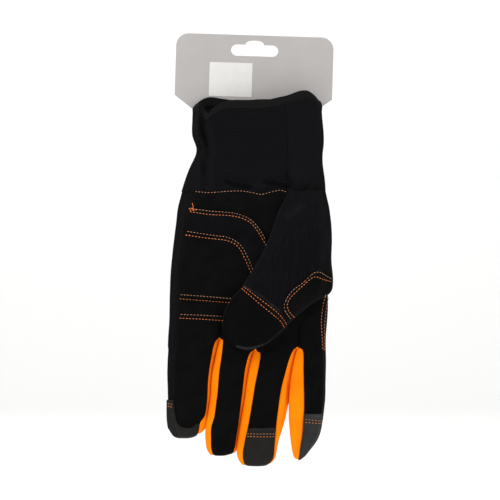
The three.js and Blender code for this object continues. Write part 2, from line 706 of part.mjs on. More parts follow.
// The front of the palm and its four finger fronts, cut from one skin.
function palmPanel() {
  const sheet = new Sheet();
  const palmGrid = palmRows.map(() => []);
  fingers.forEach((finger, f) => {
    const places = stripPlaces(stripColumns[finger.name]);
    palmRows.forEach((at, r) => {
      places.forEach((place, c) => {
        const { outer, inner } = palmPoint('front', f, place, at, panelWall);
        const number = sheet.point(palmKey(r, f, c, places.length - 1), outer, inner);
        if (!(c === 0 && f > 0)) palmGrid[r].push(number);
      });
    });
    const lastRow = palmRows.length - 1;
    const rows = [places.map((place, c) => sheet.keys.get(palmKey(lastRow, f, c, places.length - 1)))];
    rowsOf(finger).slice(1).forEach((at, r) => {
      const ring = fingerRing(finger, at);
      const [low, high] = trimmed(frontArc, ring);
      rows.push(places.map((place, c) => {
        const { outer, inner } = fingerPoint(ring, frontArc, mix(low, high, place), place, panelWall);
        return sheet.point(`f:${f}:${r}:${c}`, outer, inner);
      }));
    });
    sheet.grid(rows);
  });
  const inHole = (r, c) => {
    const a = sheet.outer[palmGrid[r][c]];
    const b = sheet.outer[palmGrid[r + 1][c + 1]];
    const deep = palmRows[r] >= palmHole.top && palmRows[r + 1] <= palmHole.bottom;
    return deep && a[0] > acrossHand(palmHole.left) && b[0] < acrossHand(palmHole.right);
  };
  sheet.grid(palmGrid, inHole);
  return sheet.geometry();
}
addPiece('palm_panel', palmPanel(), cloth.palm, 0.95);

// The back of the hand and of the four fingers, with both outer sides of the hand.
function backPanel() {
  const sheet = new Sheet();
  const sideCount = 3;
  const sideTurns = (ring, arc, reverse) => {
    const [low] = trimmed(arc, ring);
    const turns = [];
    for (let i = 0; i < sideCount; i += 1) turns.push(mix(low, 1, i / sideCount));
    return reverse ? turns.reverse() : turns;
  };
  const number = (key, made) => sheet.point(key, made.outer, made.inner);
  const bareLevel = (at) => mix(palmTopZ, rootZ, at);
  const palmSide = (arc, at) => sideTurns(palmRing(at), arc, arc === leftArc).map((w, i) => {
    const ring = palmRing(at);
    const root = fingerRing(fingers[arc === leftArc ? 0 : 3], 0);
    const flat = arc(ring, w);
    const lobe = arc(root, w);
    const blend = ease(rootBlend, 1, at);
    const point = { x: mix(flat.x, lobe.x, blend), y: mix(flat.y, lobe.y, blend), z: bareLevel(at) };
    const a = inward(ring, point, panelWall);
    const b = inward(root, point, panelWall);
    return number(`s:${arc === leftArc}:${at}:${i}`, {
      outer: [point.x, point.y, point.z],
      inner: a.map((value, k) => mix(value, b[k], blend)),
    });
  });
  const palmGrid = palmRows.map((at, r) => {
    const row = palmSide(rightArc, at);
    [3, 2, 1, 0].forEach((f) => {
      const places = stripPlaces(stripColumns[fingers[f].name]).reverse();
      places.forEach((place, c) => {
        if (c === 0 && f < 3) return;
        row.push(number(`p:${r}:${f}:${c}`, palmPoint('back', f, place, at, panelWall)));
      });
    });
    return row.concat(palmSide(leftArc, at));
  });
  sheet.grid(palmGrid);
  const lastRow = palmGrid[palmRows.length - 1];
  let start = 0;
  [3, 2, 1, 0].forEach((f) => {
    const finger = fingers[f];
    const places = stripPlaces(stripColumns[finger.name]).reverse();
    const before = f === 3 ? sideCount : 0;
    const after = f === 0 ? sideCount : 0;
    const width = before + places.length + after;
    const rows = [lastRow.slice(start, start + width)];
    start += width - 1;
    rowsOf(finger).slice(1).forEach((at, r) => {
      const ring = fingerRing(finger, at);
      const [low, high] = trimmed(backArc, ring);
      const from = f === 0 ? 0 : low;
      const to = f === 3 ? 1 : high;
      const row = [];
      if (f === 3) {
        sideTurns(ring, rightArc, false).forEach((w, i) => {
          row.push(number(`a:${f}:${r}:${i}`, fingerPoint(ring, rightArc, w, 1, panelWall)));
        });
      }
      places.forEach((place, c) => {
        const made = fingerPoint(ring, backArc, mix(from, to, place), place, panelWall);
        row.push(number(`b:${f}:${r}:${c}`, made));
      });
      if (f === 0) {
        sideTurns(ring, leftArc, true).forEach((w, i) => {
          row.push(number(`c:${f}:${r}:${i}`, fingerPoint(ring, leftArc, w, 0, panelWall)));
        });
      }
      rows.push(row);
    });
    sheet.grid(rows);
  });
  return sheet.geometry();
}
addPiece('back_panel', backPanel(), cloth.knit, 0.95);

// A fourchette runs up one finger's side, round the crotch and down the next finger's side.
const fourchetteColumns = 4;
const crotchTrim = 0.02;
const crotchDrop = 3 * seamGap;
function fourchette(cleftIndex) {
  const sheet = new Sheet();
  const sides = [
    { finger: fingers[cleftIndex], arc: rightArc, place: 1 },
    { finger: fingers[cleftIndex + 1], arc: leftArc, place: 0 },
  ];
  const sideRow = (side, at) => {
    const ring = fingerRing(side.finger, at);
    const [low, high] = trimmed(side.arc, ring);
    const row = [];
    for (let c = 0; c <= fourchetteColumns; c += 1) {
      const w = mix(low, high, c / fourchetteColumns);
      const { outer, inner } = fingerPoint(ring, side.arc, w, side.place, panelWall);
      row.push(sheet.point(`${side.finger.name}:${at}:${c}`, outer, inner));
    }
    return row;
  };
  const levels = (side) => rowsOf(side.finger).filter((at) => at > 0 && at <= fourchetteEnd);
  const rows = levels(sides[0]).reverse().map((at) => sideRow(sides[0], at));
  const crotch = fingerRing(sides[0].finger, 0);
  const saddle = [];
  const levelZ = crotchZ(clefts[cleftIndex]) - crotchDrop;
  for (let c = 0; c <= fourchetteColumns; c += 1) {
    const flat = rightArc(crotch, mix(crotchTrim, 1 - crotchTrim, c / fourchetteColumns));
    saddle.push(sheet.point(`saddle:${c}`, [flat.x, flat.y, levelZ - panelWall], [flat.x, flat.y, levelZ]));
  }
  rows.push(saddle);
  rows.push(...levels(sides[1]).map((at) => sideRow(sides[1], at)));
  sheet.grid(rows.reverse());
  return sheet.geometry();
}
clefts.forEach((cleft, i) => {
  addPiece(`fourchette_${cleft.name}`, fourchette(i), orange, 0.8);
});

// Depth of the palm's front at a place, for what lies on it.
function palmFront(x, z) {
  const at = clamp01((palmTopZ - z) / (palmTopZ - rootZ));
  const ring = palmRing(at);
  const s = clamp01((x - ring.seamLeft) / (ring.seamRight - ring.seamLeft));
  return frontArc(ring, s).y;
}
const palmPlace = (u, v) => ({ x: acrossHand(u), z: wristZ - v * palmLength });

// A flat patch sewn on the palm, between two seam lines. Its columns lie closer together at the
// hand's outer side, where the palm curves most.
const patchColumns = 14;
const patchSpacing = 1.6;
function palmPatch(topLine, bottomLine, rowCount) {
  const sheet = new Sheet();
  const rows = [];
  for (let r = 0; r <= rowCount; r += 1) {
    const row = [];
    for (let c = 0; c <= patchColumns; c += 1) {
      const place = Math.pow(c / patchColumns, patchSpacing);
      const a = along(topLine, place);
      const b = along(bottomLine, place);
      const share = r / rowCount;
      const { x, z } = palmPlace(mix(a[0], b[0], share), mix(a[1], b[1], share));
      const y = palmFront(x, z) - patchRest;
      row.push(sheet.point(`${r}:${c}`, [x, y - patchWall, z], [x, y, z]));
    }
    rows.push(row);
  }
  sheet.grid(rows);
  return sheet.geometry();
}
const bandGap = 2 * seamGap;
const bandBottom = padTop.map(([u, v]) => [u + bandGap / handWidth, v - bandGap / palmLength]);
addPiece('palm_band_patch', palmPatch(bandTop, bandBottom, 3), cloth.palm, 0.9);
addPiece('palm_pad_patch', palmPatch(padTop, padBottom, 4), charcoal, 0.95);

// The thumb: a flattened tube that lies on the palm and opens into it behind its root.
const thumbRest = patchRest + patchWall + 2 * seamGap;
const thumbColumns = 10;
const thumbRows = [
  0, 0.06, 0.12, 0.22, 0.32, 0.42, 0.47, 0.52, 0.55,
  0.58, 0.61, 0.64, 0.72, 0.8, 0.87, 0.93, 0.975, 1,
];
const thumbLeast = 2 * panelWall + seamGap;
// How far the thumb's inner face stays from its sides and its tip, as shares across and along it.
const thumbSideWall = 0.035;
const thumbTipWall = 0.008;

function thumbSkin(at, s) {
  const u = mix(track(thumbSections, 'leftU', at), track(thumbSections, 'rightU', at), s);
  const v = mix(track(thumbSections, 'leftV', at), track(thumbSections, 'rightV', at), s);
  const { x, z } = palmPlace(u, v);
  const rear = palmFront(x, z) - thumbRest;
  const thick = thumbLeast + thumbDepth * track(thumbSections, 'depth', at) * arch(s, thumbCrown);
  return { x, z, rear, front: rear - thick };
}

function thumbShell() {
  const sheet = new Sheet();
  const places = stripPlaces(thumbColumns);
  const tight = (s) => mix(thumbSideWall, 1 - thumbSideWall, s);
  const grid = thumbRows.map((at, r) => {
    const innerAt = Math.min(at, 1 - thumbTipWall);
    const wallPoint = (side, s, c, wall) => {
      const skin = thumbSkin(at, s);
      const under = thumbSkin(innerAt, tight(s));
      const outer = [skin.x, skin[side], skin.z];
      return sheet.point(`${side}:${r}:${c}`, outer, [under.x, under[side] + wall, under.z]);
    };
    const frontRow = places.map((s, c) => wallPoint('front', s, c, panelWall));
    const rearRow = places.slice().reverse().map((s, c) => wallPoint('rear', s, c, -panelWall));
    return [...frontRow, ...rearRow, frontRow[0]];
  });
  const inHole = (r, c) => {
    const rear = 2 * thumbColumns - c;
    if (rear < 0 || rear >= thumbColumns) return false;
    const beside = places[rear] >= thumbHole.left && places[rear + 1] <= thumbHole.right;
    return beside && thumbRows[r] >= thumbHole.from && thumbRows[r + 1] <= thumbHole.to;
  };
  sheet.grid(grid, inHole);
  const last = grid[thumbRows.length - 1];
  for (let c = 0; c < thumbColumns; c += 1) {
    const front = [last[c], last[c + 1]];
    const rear = [last[2 * thumbColumns + 1 - c], last[2 * thumbColumns - c]];
    sheet.triangles.push([front[0], rear[0], rear[1]], [front[0], rear[1], front[1]]);
  }
  return sheet.geometry();
}
addPiece('thumb_shell', thumbShell(), cloth.palm, 0.93);

// A patch sewn on the thumb's front, between two places along it and across it.
function thumbPatch(rows, columns, edges, rest) {
  const sheet = new Sheet();
  const grid = rows.map((at, r) => columns.map((place, c) => {
    const [from, to] = edges(at);
    const skin = thumbSkin(at, mix(from, to, place));
    const y = skin.front - rest;
    return sheet.point(`${r}:${c}`, [skin.x, y - patchWall, skin.z], [skin.x, y, skin.z]);
  }));
  sheet.grid(grid);
  return sheet.geometry();
}
const tipRows = thumbRows.filter((at) => at >= thumbSeam);
const tipPlaces = stripPlaces(thumbColumns).slice(1, -1);
addPiece('thumb_tip_patch', thumbPatch(tipRows, tipPlaces, () => [0, 1], seamGap), charcoal, 0.9);

// The saddle patch's inner and outer edge, as shares across the thumb, down its length.
const saddleEdge = [
  { at: 0.468, from: 0.79, to: 0.84 },
  { at: 0.482, from: 0.75, to: 0.93 },
  { at: 0.5, from: 0.69, to: 0.97 },
  { at: 0.522, from: 0.63, to: 0.97 },
  { at: 0.555, from: 0.6, to: 0.97 },
  { at: 0.583, from: 0.65, to: 0.97 },
  { at: 0.602, from: 0.73, to: 0.97 },
  { at: 0.617, from: 0.82, to: 0.97 },
  { at: 0.624, from: 0.91, to: 0.97 },
];
const saddleRows = saddleEdge.map((row) => row.at);
const saddleSpan = (at) => [track(saddleEdge, 'from', at), track(saddleEdge, 'to', at)];
const saddlePlaces = [0, 0.2, 0.4, 0.6, 0.8, 1];
const saddlePatch = thumbPatch(saddleRows, saddlePlaces, saddleSpan, saddleRest);
addPiece('thumb_saddle_patch', saddlePatch, charcoal, 0.92);

// A fingertip patch, sewn over a finger's front from a seam down to its tip.
function tipPatch(finger) {
  const sheet = new Sheet();
  const places = stripPlaces(stripColumns[finger.name]);
  const rows = rowsOf(finger).filter((at) => at >= finger.patchFrom);
  const grid = rows.map((at, r) => {
    const ring = fingerRing(finger, at);
    const [low, high] = trimmed(frontArc, ring);
    return places.map((place, c) => {
      const [x, y, z] = fingerPoint(ring, frontArc, mix(low, high, place), place, panelWall).outer;
      return sheet.point(`${r}:${c}`, [x, y - seamGap - patchWall, z], [x, y - seamGap, z]);
    });
  });
  sheet.grid(grid);
  return sheet.geometry();
}
addPiece('middle_tip_patch', tipPatch(fingers[2]), charcoal, 0.9);
addPiece('index_tip_patch', tipPatch(fingers[3]), charcoal, 0.9);

// The little finger's patch lies over the panels' own columns, so that it follows them closely. A
// row above the patch's edge falls on the edge.
function wrapPatch(finger) {
  const sheet = new Sheet();
  const sides = [2 / 3, 1 / 3, 0].map((share) => ({ arc: leftArc, share, place: 0, from: finger.patchFrom }));
  const fronts = stripPlaces(stripColumns[finger.name]).map((place) => ({
    arc: frontArc, share: place, place, from: track(littlePatchEdge, 'from', place),
  }));
  const rows = rowsOf(finger).filter((at) => at >= finger.patchFrom);
  const grid = rows.map((row) => [...sides, ...fronts].map((column, c) => {
    const at = Math.max(row, column.from);
    const ring = fingerRing(finger, at);
    const [low, high] = trimmed(column.arc, ring);
    const share = mix(low, column.arc === frontArc ? high : 1, column.share);
    const flat = column.arc(ring, share);
    const point = { x: flat.x, y: flat.y, z: mix(ring.levelLeft, ring.levelRight, column.place) };
    const [near, far] = [seamGap, seamGap + patchWall].map((rest) => {
      const [x, y, z] = inward(ring, point, -rest);
      return [mix(x, point.x, column.place), y, z];
    });
    return sheet.point(`${c}:${at}`, far, near);
  }));
  sheet.grid(grid);
  return sheet.geometry();
}
addPiece('little_tip_patch', wrapPatch(fingers[0]), charcoal, 0.9);

// The header card: a plate with a chamfered tongue behind the cuff and a slot to hang by.
function headerCard() {
  const left = cardShift - cardWidth / 2;
  const right = cardShift + cardWidth / 2;
  const tongueLeft = cardShift - cardTongueWidth / 2;
  const tongueRight = cardShift + cardTongueWidth / 2;
  const bottom = -cardDrop;
  const outline = new THREE.Shape();
  outline.moveTo(left + cardCorner, cardRise);
  outline.absarc(left + cardCorner, cardRise - cardCorner, cardCorner, Math.PI / 2, Math.PI, false);
  outline.lineTo(left, bottom);
  outline.lineTo(tongueLeft, bottom - cardChamferDrop);
  outline.lineTo(tongueLeft, -cardTongueDrop + cardCorner);
  const tongueZ = -cardTongueDrop + cardCorner;
  outline.absarc(tongueLeft + cardCorner, tongueZ, cardCorner, Math.PI, 1.5 * Math.PI, false);
  outline.absarc(tongueRight - cardCorner, tongueZ, cardCorner, 1.5 * Math.PI, 2 * Math.PI, false);
  outline.lineTo(tongueRight, bottom - cardChamferDrop);
  outline.lineTo(right, bottom);
  outline.lineTo(right, cardRise - cardCorner);
  outline.absarc(right - cardCorner, cardRise - cardCorner, cardCorner, 0, Math.PI / 2, false);
  const lobe = slotHeight / 2;
  const slotMiddle = -slotBumpRise - lobe;
  const reach = slotWidth / 2 - lobe;
  const bump = slotBumpWidth / 2;
  const slot = new THREE.Path();
  slot.moveTo(-reach, slotMiddle + lobe);
  slot.absarc(-reach, slotMiddle, lobe, Math.PI / 2, 1.5 * Math.PI, false);
  slot.absarc(reach, slotMiddle, lobe, 1.5 * Math.PI, 2.5 * Math.PI, false);
  slot.lineTo(bump, slotMiddle + lobe);
  slot.quadraticCurveTo(bump, 0, 0, 0);
  slot.quadraticCurveTo(-bump, 0, -bump, slotMiddle + lobe);
  const tilt = THREE.MathUtils.degToRad(cardTilt);
  const hole = new THREE.Path();
  hole.absarc(
    pinX * Math.cos(tilt) - pinZ * Math.sin(tilt),
    pinZ * Math.cos(tilt) + pinX * Math.sin(tilt),
    pinHoleRadius, 0, 2 * Math.PI, true,
  );
  outline.holes.push(slot, hole);
  const board = { depth: cardThickness, bevelEnabled: false, curveSegments: 5 };
  const plate = new THREE.ExtrudeGeometry(outline, board);
  plate.translate(0, 0, -cardThickness / 2);
  plate.rotateX(Math.PI / 2);
  plate.rotateY(tilt);
  return plate;
}
addPiece('hang_card', headerCard(), 0xbfbcba, 0.6);

// The hidden fastener: one turned post with a head behind the card and one inside the cuff.
function cardPin() {
  const cardBack = cardThickness / 2 + seamGap;
  const cuffFace = -innerBackY + seamGap;
  const profile = [
    [0, cardBack + pinHeadThickness],
    [pinHeadRadius, cardBack + pinHeadThickness],
    [pinHeadRadius, cardBack],
    [pinRadius, cardBack],
    [pinRadius, -cuffFace],
    [pinHeadRadius, -cuffFace],
    [pinHeadRadius, -cuffFace - pinHeadThickness],
    [0, -cuffFace - pinHeadThickness],
  ].map(([x, y]) => new THREE.Vector2(x, y)).reverse();
  const post = new THREE.LatheGeometry(profile, roundSides);
  post.translate(pinX, 0, pinZ);
  return post;
}
addPiece('card_pin', cardPin(), 0xd8d8d4, 0.5);

export default group;
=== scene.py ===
# %% [markdown]
# # A work glove on its hang card
#
# The glove is sewn from thin panels: a ribbed cuff, a palm with the four finger fronts, a back,
# bright side walls between the fingers and small patches where the cloth wears. It hangs from a
# plain board card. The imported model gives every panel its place. Here each soft panel is copied,
# smoothed, creased like cloth and sewn with real stitches, and every surface gets its finish.

# %% Load the model
import math
import bmesh
import bpy
import numpy as np
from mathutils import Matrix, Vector
from mathutils.bvhtree import BVHTree
from mathutils.kdtree import KDTree


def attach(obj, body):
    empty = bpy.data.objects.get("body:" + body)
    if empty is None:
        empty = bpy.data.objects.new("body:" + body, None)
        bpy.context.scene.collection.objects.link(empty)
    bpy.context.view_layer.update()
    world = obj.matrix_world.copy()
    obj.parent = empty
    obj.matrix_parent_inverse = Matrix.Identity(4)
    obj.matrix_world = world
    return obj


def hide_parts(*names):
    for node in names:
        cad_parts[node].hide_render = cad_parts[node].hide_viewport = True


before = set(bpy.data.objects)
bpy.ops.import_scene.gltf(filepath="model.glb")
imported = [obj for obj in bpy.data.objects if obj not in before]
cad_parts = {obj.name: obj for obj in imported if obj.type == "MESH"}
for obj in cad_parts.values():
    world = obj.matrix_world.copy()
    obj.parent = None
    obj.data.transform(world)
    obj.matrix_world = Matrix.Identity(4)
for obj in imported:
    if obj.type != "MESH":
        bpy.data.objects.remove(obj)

MM = 0.001
glove_nodes = [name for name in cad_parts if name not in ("hang_card", "card_pin")]
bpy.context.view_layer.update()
bpy.ops.object.select_all(action="DESELECT")
print("glove panels:", len(glove_nodes))

# %% [markdown]
# ## The camera
#
# The glove was photographed straight from the front with a long lens, so its sides hardly
# converge. A 135 mm lens from 1.26 m frames 336 mm, and the picture is 500 pixels wide. With the
# camera fixed, any picture point can be turned into a ray. Seams are drawn along such rays later.

# %% Camera
PICTURE = 500
VIEW_WIDTH = 336 * MM
VIEW_CENTRE = Vector((-3.36, -12, -142)) * MM
CAMERA_DISTANCE = 1.26
lens = bpy.data.cameras.new("camera")
lens.sensor_width = 36
lens.lens = lens.sensor_width * CAMERA_DISTANCE / VIEW_WIDTH
camera = bpy.data.objects.new("camera", lens)
camera.location = VIEW_CENTRE - Vector((0, CAMERA_DISTANCE, 0))
camera.rotation_euler = (math.radians(90), 0, 0)
bpy.context.collection.objects.link(camera)
bpy.context.scene.camera = camera


def picture_ray(px, py):
    """The direction from the camera through a picture point."""
    across = (px - PICTURE / 2) * VIEW_WIDTH / PICTURE
    up = (PICTURE / 2 - py) * VIEW_WIDTH / PICTURE
    return Vector((across, CAMERA_DISTANCE, up)).normalized()


print("lens", round(lens.lens, 1), "mm")

# %% [markdown]
# ## Floor, backdrop and light
#
# A pale sheet that sweeps up behind the object is how a small studio hides the line between floor
# and wall. It is made from one plane: its rear edge is extruded up and the fold is bevelled. Big
# soft lights in front and a pale world keep the shadows weak, as in a catalogue picture, and a
# lamp of its own brightens the wall. The Standard view keeps black cloth black, where a film-like
# view would lift it to grey.

# %% Backdrop
FLOOR_Z = -0.42
SHEET_SIZE = (5, 4, 1)
REAR = SHEET_SIZE[1] / 2
WALL_HEIGHT = 3
FOLD_RADIUS = 1.0
NEAR = 0.01


def select_edges(mesh, wanted):
    """Select the edges that have both their ends at wanted places."""
    bm = bmesh.from_edit_mesh(mesh)
    for edge in bm.edges:
        edge.select_set(all(wanted(vert.co) for vert in edge.verts))
    bm.select_flush_mode()
    bmesh.update_edit_mesh(mesh)


bpy.ops.mesh.primitive_plane_add(size=1, location=(0, 0, FLOOR_Z))
backdrop = bpy.context.object
backdrop.name = "backdrop"
backdrop.scale = SHEET_SIZE
bpy.ops.object.transform_apply(location=True, scale=True)
bpy.ops.object.mode_set(mode="EDIT")
select_edges(backdrop.data, lambda co: co.y > REAR - NEAR)
bpy.ops.mesh.extrude_region_move(TRANSFORM_OT_translate={"value": (0, 0, WALL_HEIGHT)})
select_edges(backdrop.data, lambda co: co.y > REAR - NEAR and co.z < FLOOR_Z + NEAR)
bpy.ops.mesh.bevel(offset=FOLD_RADIUS, segments=16)
bpy.ops.object.mode_set(mode="OBJECT")
bpy.ops.object.shade_smooth()
bpy.ops.object.select_all(action="DESELECT")
print("backdrop faces:", len(backdrop.data.polygons))

# %% Light
GLOVE_MIDDLE = (0, 0, -0.14)
WALL_MIDDLE = (0, 2, -0.3)
bpy.context.scene.view_settings.view_transform = "Standard"
world = bpy.data.worlds.new("studio")
world.use_nodes = True
world.node_tree.nodes["Background"].inputs["Color"].default_value = (1, 1, 1, 1)
world.node_tree.nodes["Background"].inputs["Strength"].default_value = 0.8
bpy.context.scene.world = world
studio_lights = {
    "key": {"at": (-0.9, -1.5, 0.9), "size": 0.9, "power": 14, "aim": GLOVE_MIDDLE},
    "fill": {"at": (1.0, -1.4, 0.2), "size": 1.4, "power": 5, "aim": GLOVE_MIDDLE},
    "top": {"at": (-0.2, -0.2, 1.3), "size": 0.8, "power": 7, "aim": GLOVE_MIDDLE},
    "wall": {"at": (0, 0.5, 1.5), "size": 1.5, "power": 8, "aim": WALL_MIDDLE},
}
for name, row in studio_lights.items():
    lamp = bpy.data.lights.new(name, "AREA")
    lamp.size = row["size"]
    lamp.energy = row["power"]
    stand = bpy.data.objects.new(name, lamp)
    stand.location = row["at"]
    aim = Vector(row["aim"]) - stand.location
    stand.rotation_euler = aim.to_track_quat("-Z", "Y").to_euler()
    bpy.context.collection.objects.link(stand)
print("lights:", len(studio_lights))

# %% [markdown]
# ## Helpers for finishes
#
# A finish is a small graph of nodes. One function adds a node, fills its sockets and links it.
# Colours are picked as sRGB hex values, which must become linear light before a shader uses them.
# Every pattern is laid out in millimetres on the object's own coordinates.


# %% Finish helpers
def linear(hex_colour):
    """An sRGB hex colour as linear light."""
    parts = [int(hex_colour[i:i + 2], 16) / 255 for i in (1, 3, 5)]
    return tuple(c / 12.92 if c <= 0.04045 else ((c + 0.055) / 1.055) ** 2.4 for c in parts) + (1,)


def add(tree, kind, inputs=None, **settings):
    """A new node with its settings. An input is a value, or the socket of another node."""
    node = tree.nodes.new(kind)
    for key, value in settings.items():
        setattr(node, key, value)
    for key, value in (inputs or {}).items():
        if isinstance(value, bpy.types.NodeSocket):
            tree.links.new(value, node.inputs[key])
        else:
            node.inputs[key].default_value = value
    return node


def start_finish(name, **shader):
    """A new material: itself, its tree, its shader and Object coordinates to lay patterns on."""
    finish = bpy.data.materials.new(name)
    finish.use_nodes = True
    tree = finish.node_tree
    tree.nodes.clear()
    sockets = {key.replace("_", " "): value for key, value in shader.items()}
    surface = add(tree, "ShaderNodeBsdfPrincipled", sockets)
    add(tree, "ShaderNodeOutputMaterial", {"Surface": surface.outputs[0]})
    place = add(tree, "ShaderNodeTexCoord").outputs["Object"]
    return finish, tree, surface, place


def two_tone(tree, surface, amount, dark, light):
    """Let a pattern run the base colour from dark to light."""
    ramp = add(tree, "ShaderNodeValToRGB", {"Fac": amount})
    ramp.color_ramp.elements[0].color = linear(dark)
    ramp.color_ramp.elements[1].color = linear(light)
    tree.links.new(ramp.outputs[0], surface.inputs["Base Color"])
    return ramp


def relief(tree, surface, height, depth_mm):
    """Let a pattern bump the surface."""
    bump = add(tree, "ShaderNodeBump", {"Height": height, "Distance": depth_mm * MM})
    tree.links.new(bump.outputs[0], surface.inputs["Normal"])


def marked(tree, surface, ramp, painted_light_colour):
    """Let the attribute called mark, which a panel carries, paint light and shade into the colour.
    The two colours of a Mix node are its inputs 6 and 7, and the result is its output 2."""
    mark = add(tree, "ShaderNodeAttribute", attribute_name="mark")
    mix = add(tree, "ShaderNodeMix", {"Factor": mark.outputs["Fac"]}, data_type="RGBA")
    tree.links.new(ramp.outputs[0], mix.inputs[6])
    mix.inputs[7].default_value = linear(painted_light_colour)
    tree.links.new(mix.outputs[2], surface.inputs["Base Color"])


print("finish helpers ready")

# %% [markdown]
# ## Painted wall
#
# The sheet behind the object is matt white emulsion paint on board, put on with a roller. Its soft
# orange peel is about 4 mm wide, which only keeps the wall from looking like a flat fill.

# %% Wall finish
wall_paint, tree, surface, place = start_finish(
    "matt_white_paint", Roughness=0.9, Specular_IOR_Level=0.1)
peel = add(tree, "ShaderNodeTexNoise", {"Vector": place, "Scale": 1 / (4 * MM), "Detail": 2})
two_tone(tree, surface, peel.outputs[0], "#fafaf9", "#fdfdfc")
relief(tree, surface, peel.outputs[0], 0.05)
backdrop.data.materials.append(wall_paint)
print("wall:", wall_paint.name)

# %% [markdown]
# ## Synthetic suede
#
# The palm is microfibre suede: fine fibres ground to a nap, nearly black. The nap scatters light,
# so it has no highlight but glows a little at glancing angles, which the shader calls sheen. Its
# fibres are about 0.2 mm apart, which is too fine to show, so they are drawn 0.5 mm apart. The nap
# lies in soft patches about 9 mm wide. On the thumb it was brushed one way, so there the patches
# are drawn out into faint upright streaks 1.2 mm wide. Along some edges and a fold the nap is
# painted paler as a highlight, which each panel's own attribute says.


# %% Suede finish
NAP_PATCH = 9 * MM
NAP_STREAK = 1.2 * MM
FIBRE_PITCH = 0.5 * MM


def suede(name, dark, light, highlight_colour, stretch=1.0):
    """A stretch of 1 keeps the nap's patches round, and a small one draws them out upright."""
    finish, tree, surface, place = start_finish(
        name, Roughness=0.92, Specular_IOR_Level=0.04, Sheen_Weight=0.01, Sheen_Roughness=0.5)
    along = add(tree, "ShaderNodeMapping", {"Vector": place, "Scale": (1, 1, stretch)})
    nap = add(tree, "ShaderNodeTexNoise", {
        "Vector": along.outputs[0], "Scale": stretch / NAP_PATCH + (1 - stretch) / NAP_STREAK,
        "Detail": 4})
    fibres = add(tree, "ShaderNodeTexNoise", {"Vector": place, "Scale": 1 / FIBRE_PITCH, "Detail": 3})
    blend = add(tree, "ShaderNodeMath", {0: nap.outputs[0], 1: fibres.outputs[0]},
                operation="MULTIPLY")
    ramp = two_tone(tree, surface, blend.outputs[0], dark, light)
    # Two noises multiplied stay mostly between these two values.
    ramp.color_ramp.elements[0].position = 0.12
    ramp.color_ramp.elements[1].position = 0.42
    # Painted highlight: the third colour lightens edges and a fold where the panel's attribute says.
    marked(tree, surface, ramp, highlight_colour)
    relief(tree, surface, fibres.outputs[0], 0.08)
    return finish


# The third colour of each suede is its painted highlight.
palm_suede = suede("palm_microfibre_suede", "#050505", "#0b0b0b", "#1b1b1c")
band_suede = suede("band_microfibre_suede", "#060607", "#0d0d10", "#1b1b1d")
thumb_suede = suede("thumb_microfibre_suede", "#060608", "#0f0f12", "#29292c", 0.08)
print("suede:", palm_suede.name, thumb_suede.name)

# %% [markdown]
# ## Knit, elastic and binding
#
# The back is a fine stretch knit with courses that run across the hand, and the binding is a woven
# tape. Their real threads are about 0.5 and 0.3 mm apart, too fine to show, so they are drawn 1.45
# and 0.8 mm apart. The elastic of the cuff has thicker ribs, which are in its shape, and rubber
# threads between them. All three are dull and nearly black, and only their rows catch some light. A
# Wave texture draws each set of lines, and a noise stands for the loops.


# %% Knit, elastic and binding finishes
WAVE_TURN = 2 * math.pi / 20    # a Wave texture's band repeats every 2 pi / (20 x Scale)
RIB_PITCH = 1.45 * MM


def courses(name, dark, light, pitch_mm, depth_mm):
    """A cloth whose rows run across, with their pitch and depth in mm."""
    finish, tree, surface, place = start_finish(
        name, Roughness=0.85, Specular_IOR_Level=0.05, Sheen_Weight=0.015, Sheen_Roughness=0.4)
    lines = add(tree, "ShaderNodeTexWave", {
        "Vector": place, "Scale": WAVE_TURN / (pitch_mm * MM), "Distortion": 0.6,
        "Detail": 2, "Detail Scale": 2.0}, wave_type="BANDS", bands_direction="Z")
    loops = add(tree, "ShaderNodeTexNoise", {"Vector": place, "Scale": 1 / (0.6 * MM), "Detail": 2})
    blend = add(tree, "ShaderNodeMath", {0: lines.outputs["Fac"], 1: loops.outputs[0]},
                operation="MULTIPLY")
    two_tone(tree, surface, blend.outputs[0], dark, light)
    relief(tree, surface, blend.outputs[0], depth_mm)
    return finish


back_knit = courses("stretch_knit", "#08080a", "#151416", 1.45, 0.12)
cuff_elastic = courses("ribbed_elastic", "#060608", "#151518", RIB_PITCH / MM, 0.1)
cuff_tape = courses("woven_binding_tape", "#0e0e0e", "#1a1a1a", 0.8, 0.08)
print("cloths:", back_knit.name, cuff_elastic.name, cuff_tape.name)

# %% [markdown]
# ## Bright side walls
#
# The finger side walls are orange stretch cloth of nylon and elastane. It is dyed bright, with a
# fine crosswise weave of about 0.5 mm, and goes redder in soft patches about 14 mm wide, where it
# is thin or stretched. Deep in the crease between two fingers a dark red is painted in as shade,
# because the light there has met the cloth many times.

# %% Side wall finish
side_wall, tree, surface, place = start_finish(
    "orange_stretch_cloth", Roughness=0.75, Specular_IOR_Level=0.04)
patches = add(tree, "ShaderNodeTexNoise", {"Vector": place, "Scale": 1 / (14 * MM), "Detail": 3})
weave = add(tree, "ShaderNodeTexNoise", {"Vector": place, "Scale": 1 / (0.5 * MM), "Detail": 2})
ramp = two_tone(tree, surface, patches.outputs[0], "#f87006", "#ff9204")
# Painted shade: the side walls turn dark red deep in the creases between fingers.
marked(tree, surface, ramp, "#bd3204")
relief(tree, surface, weave.outputs[0], 0.1)
print("side walls:", side_wall.name)
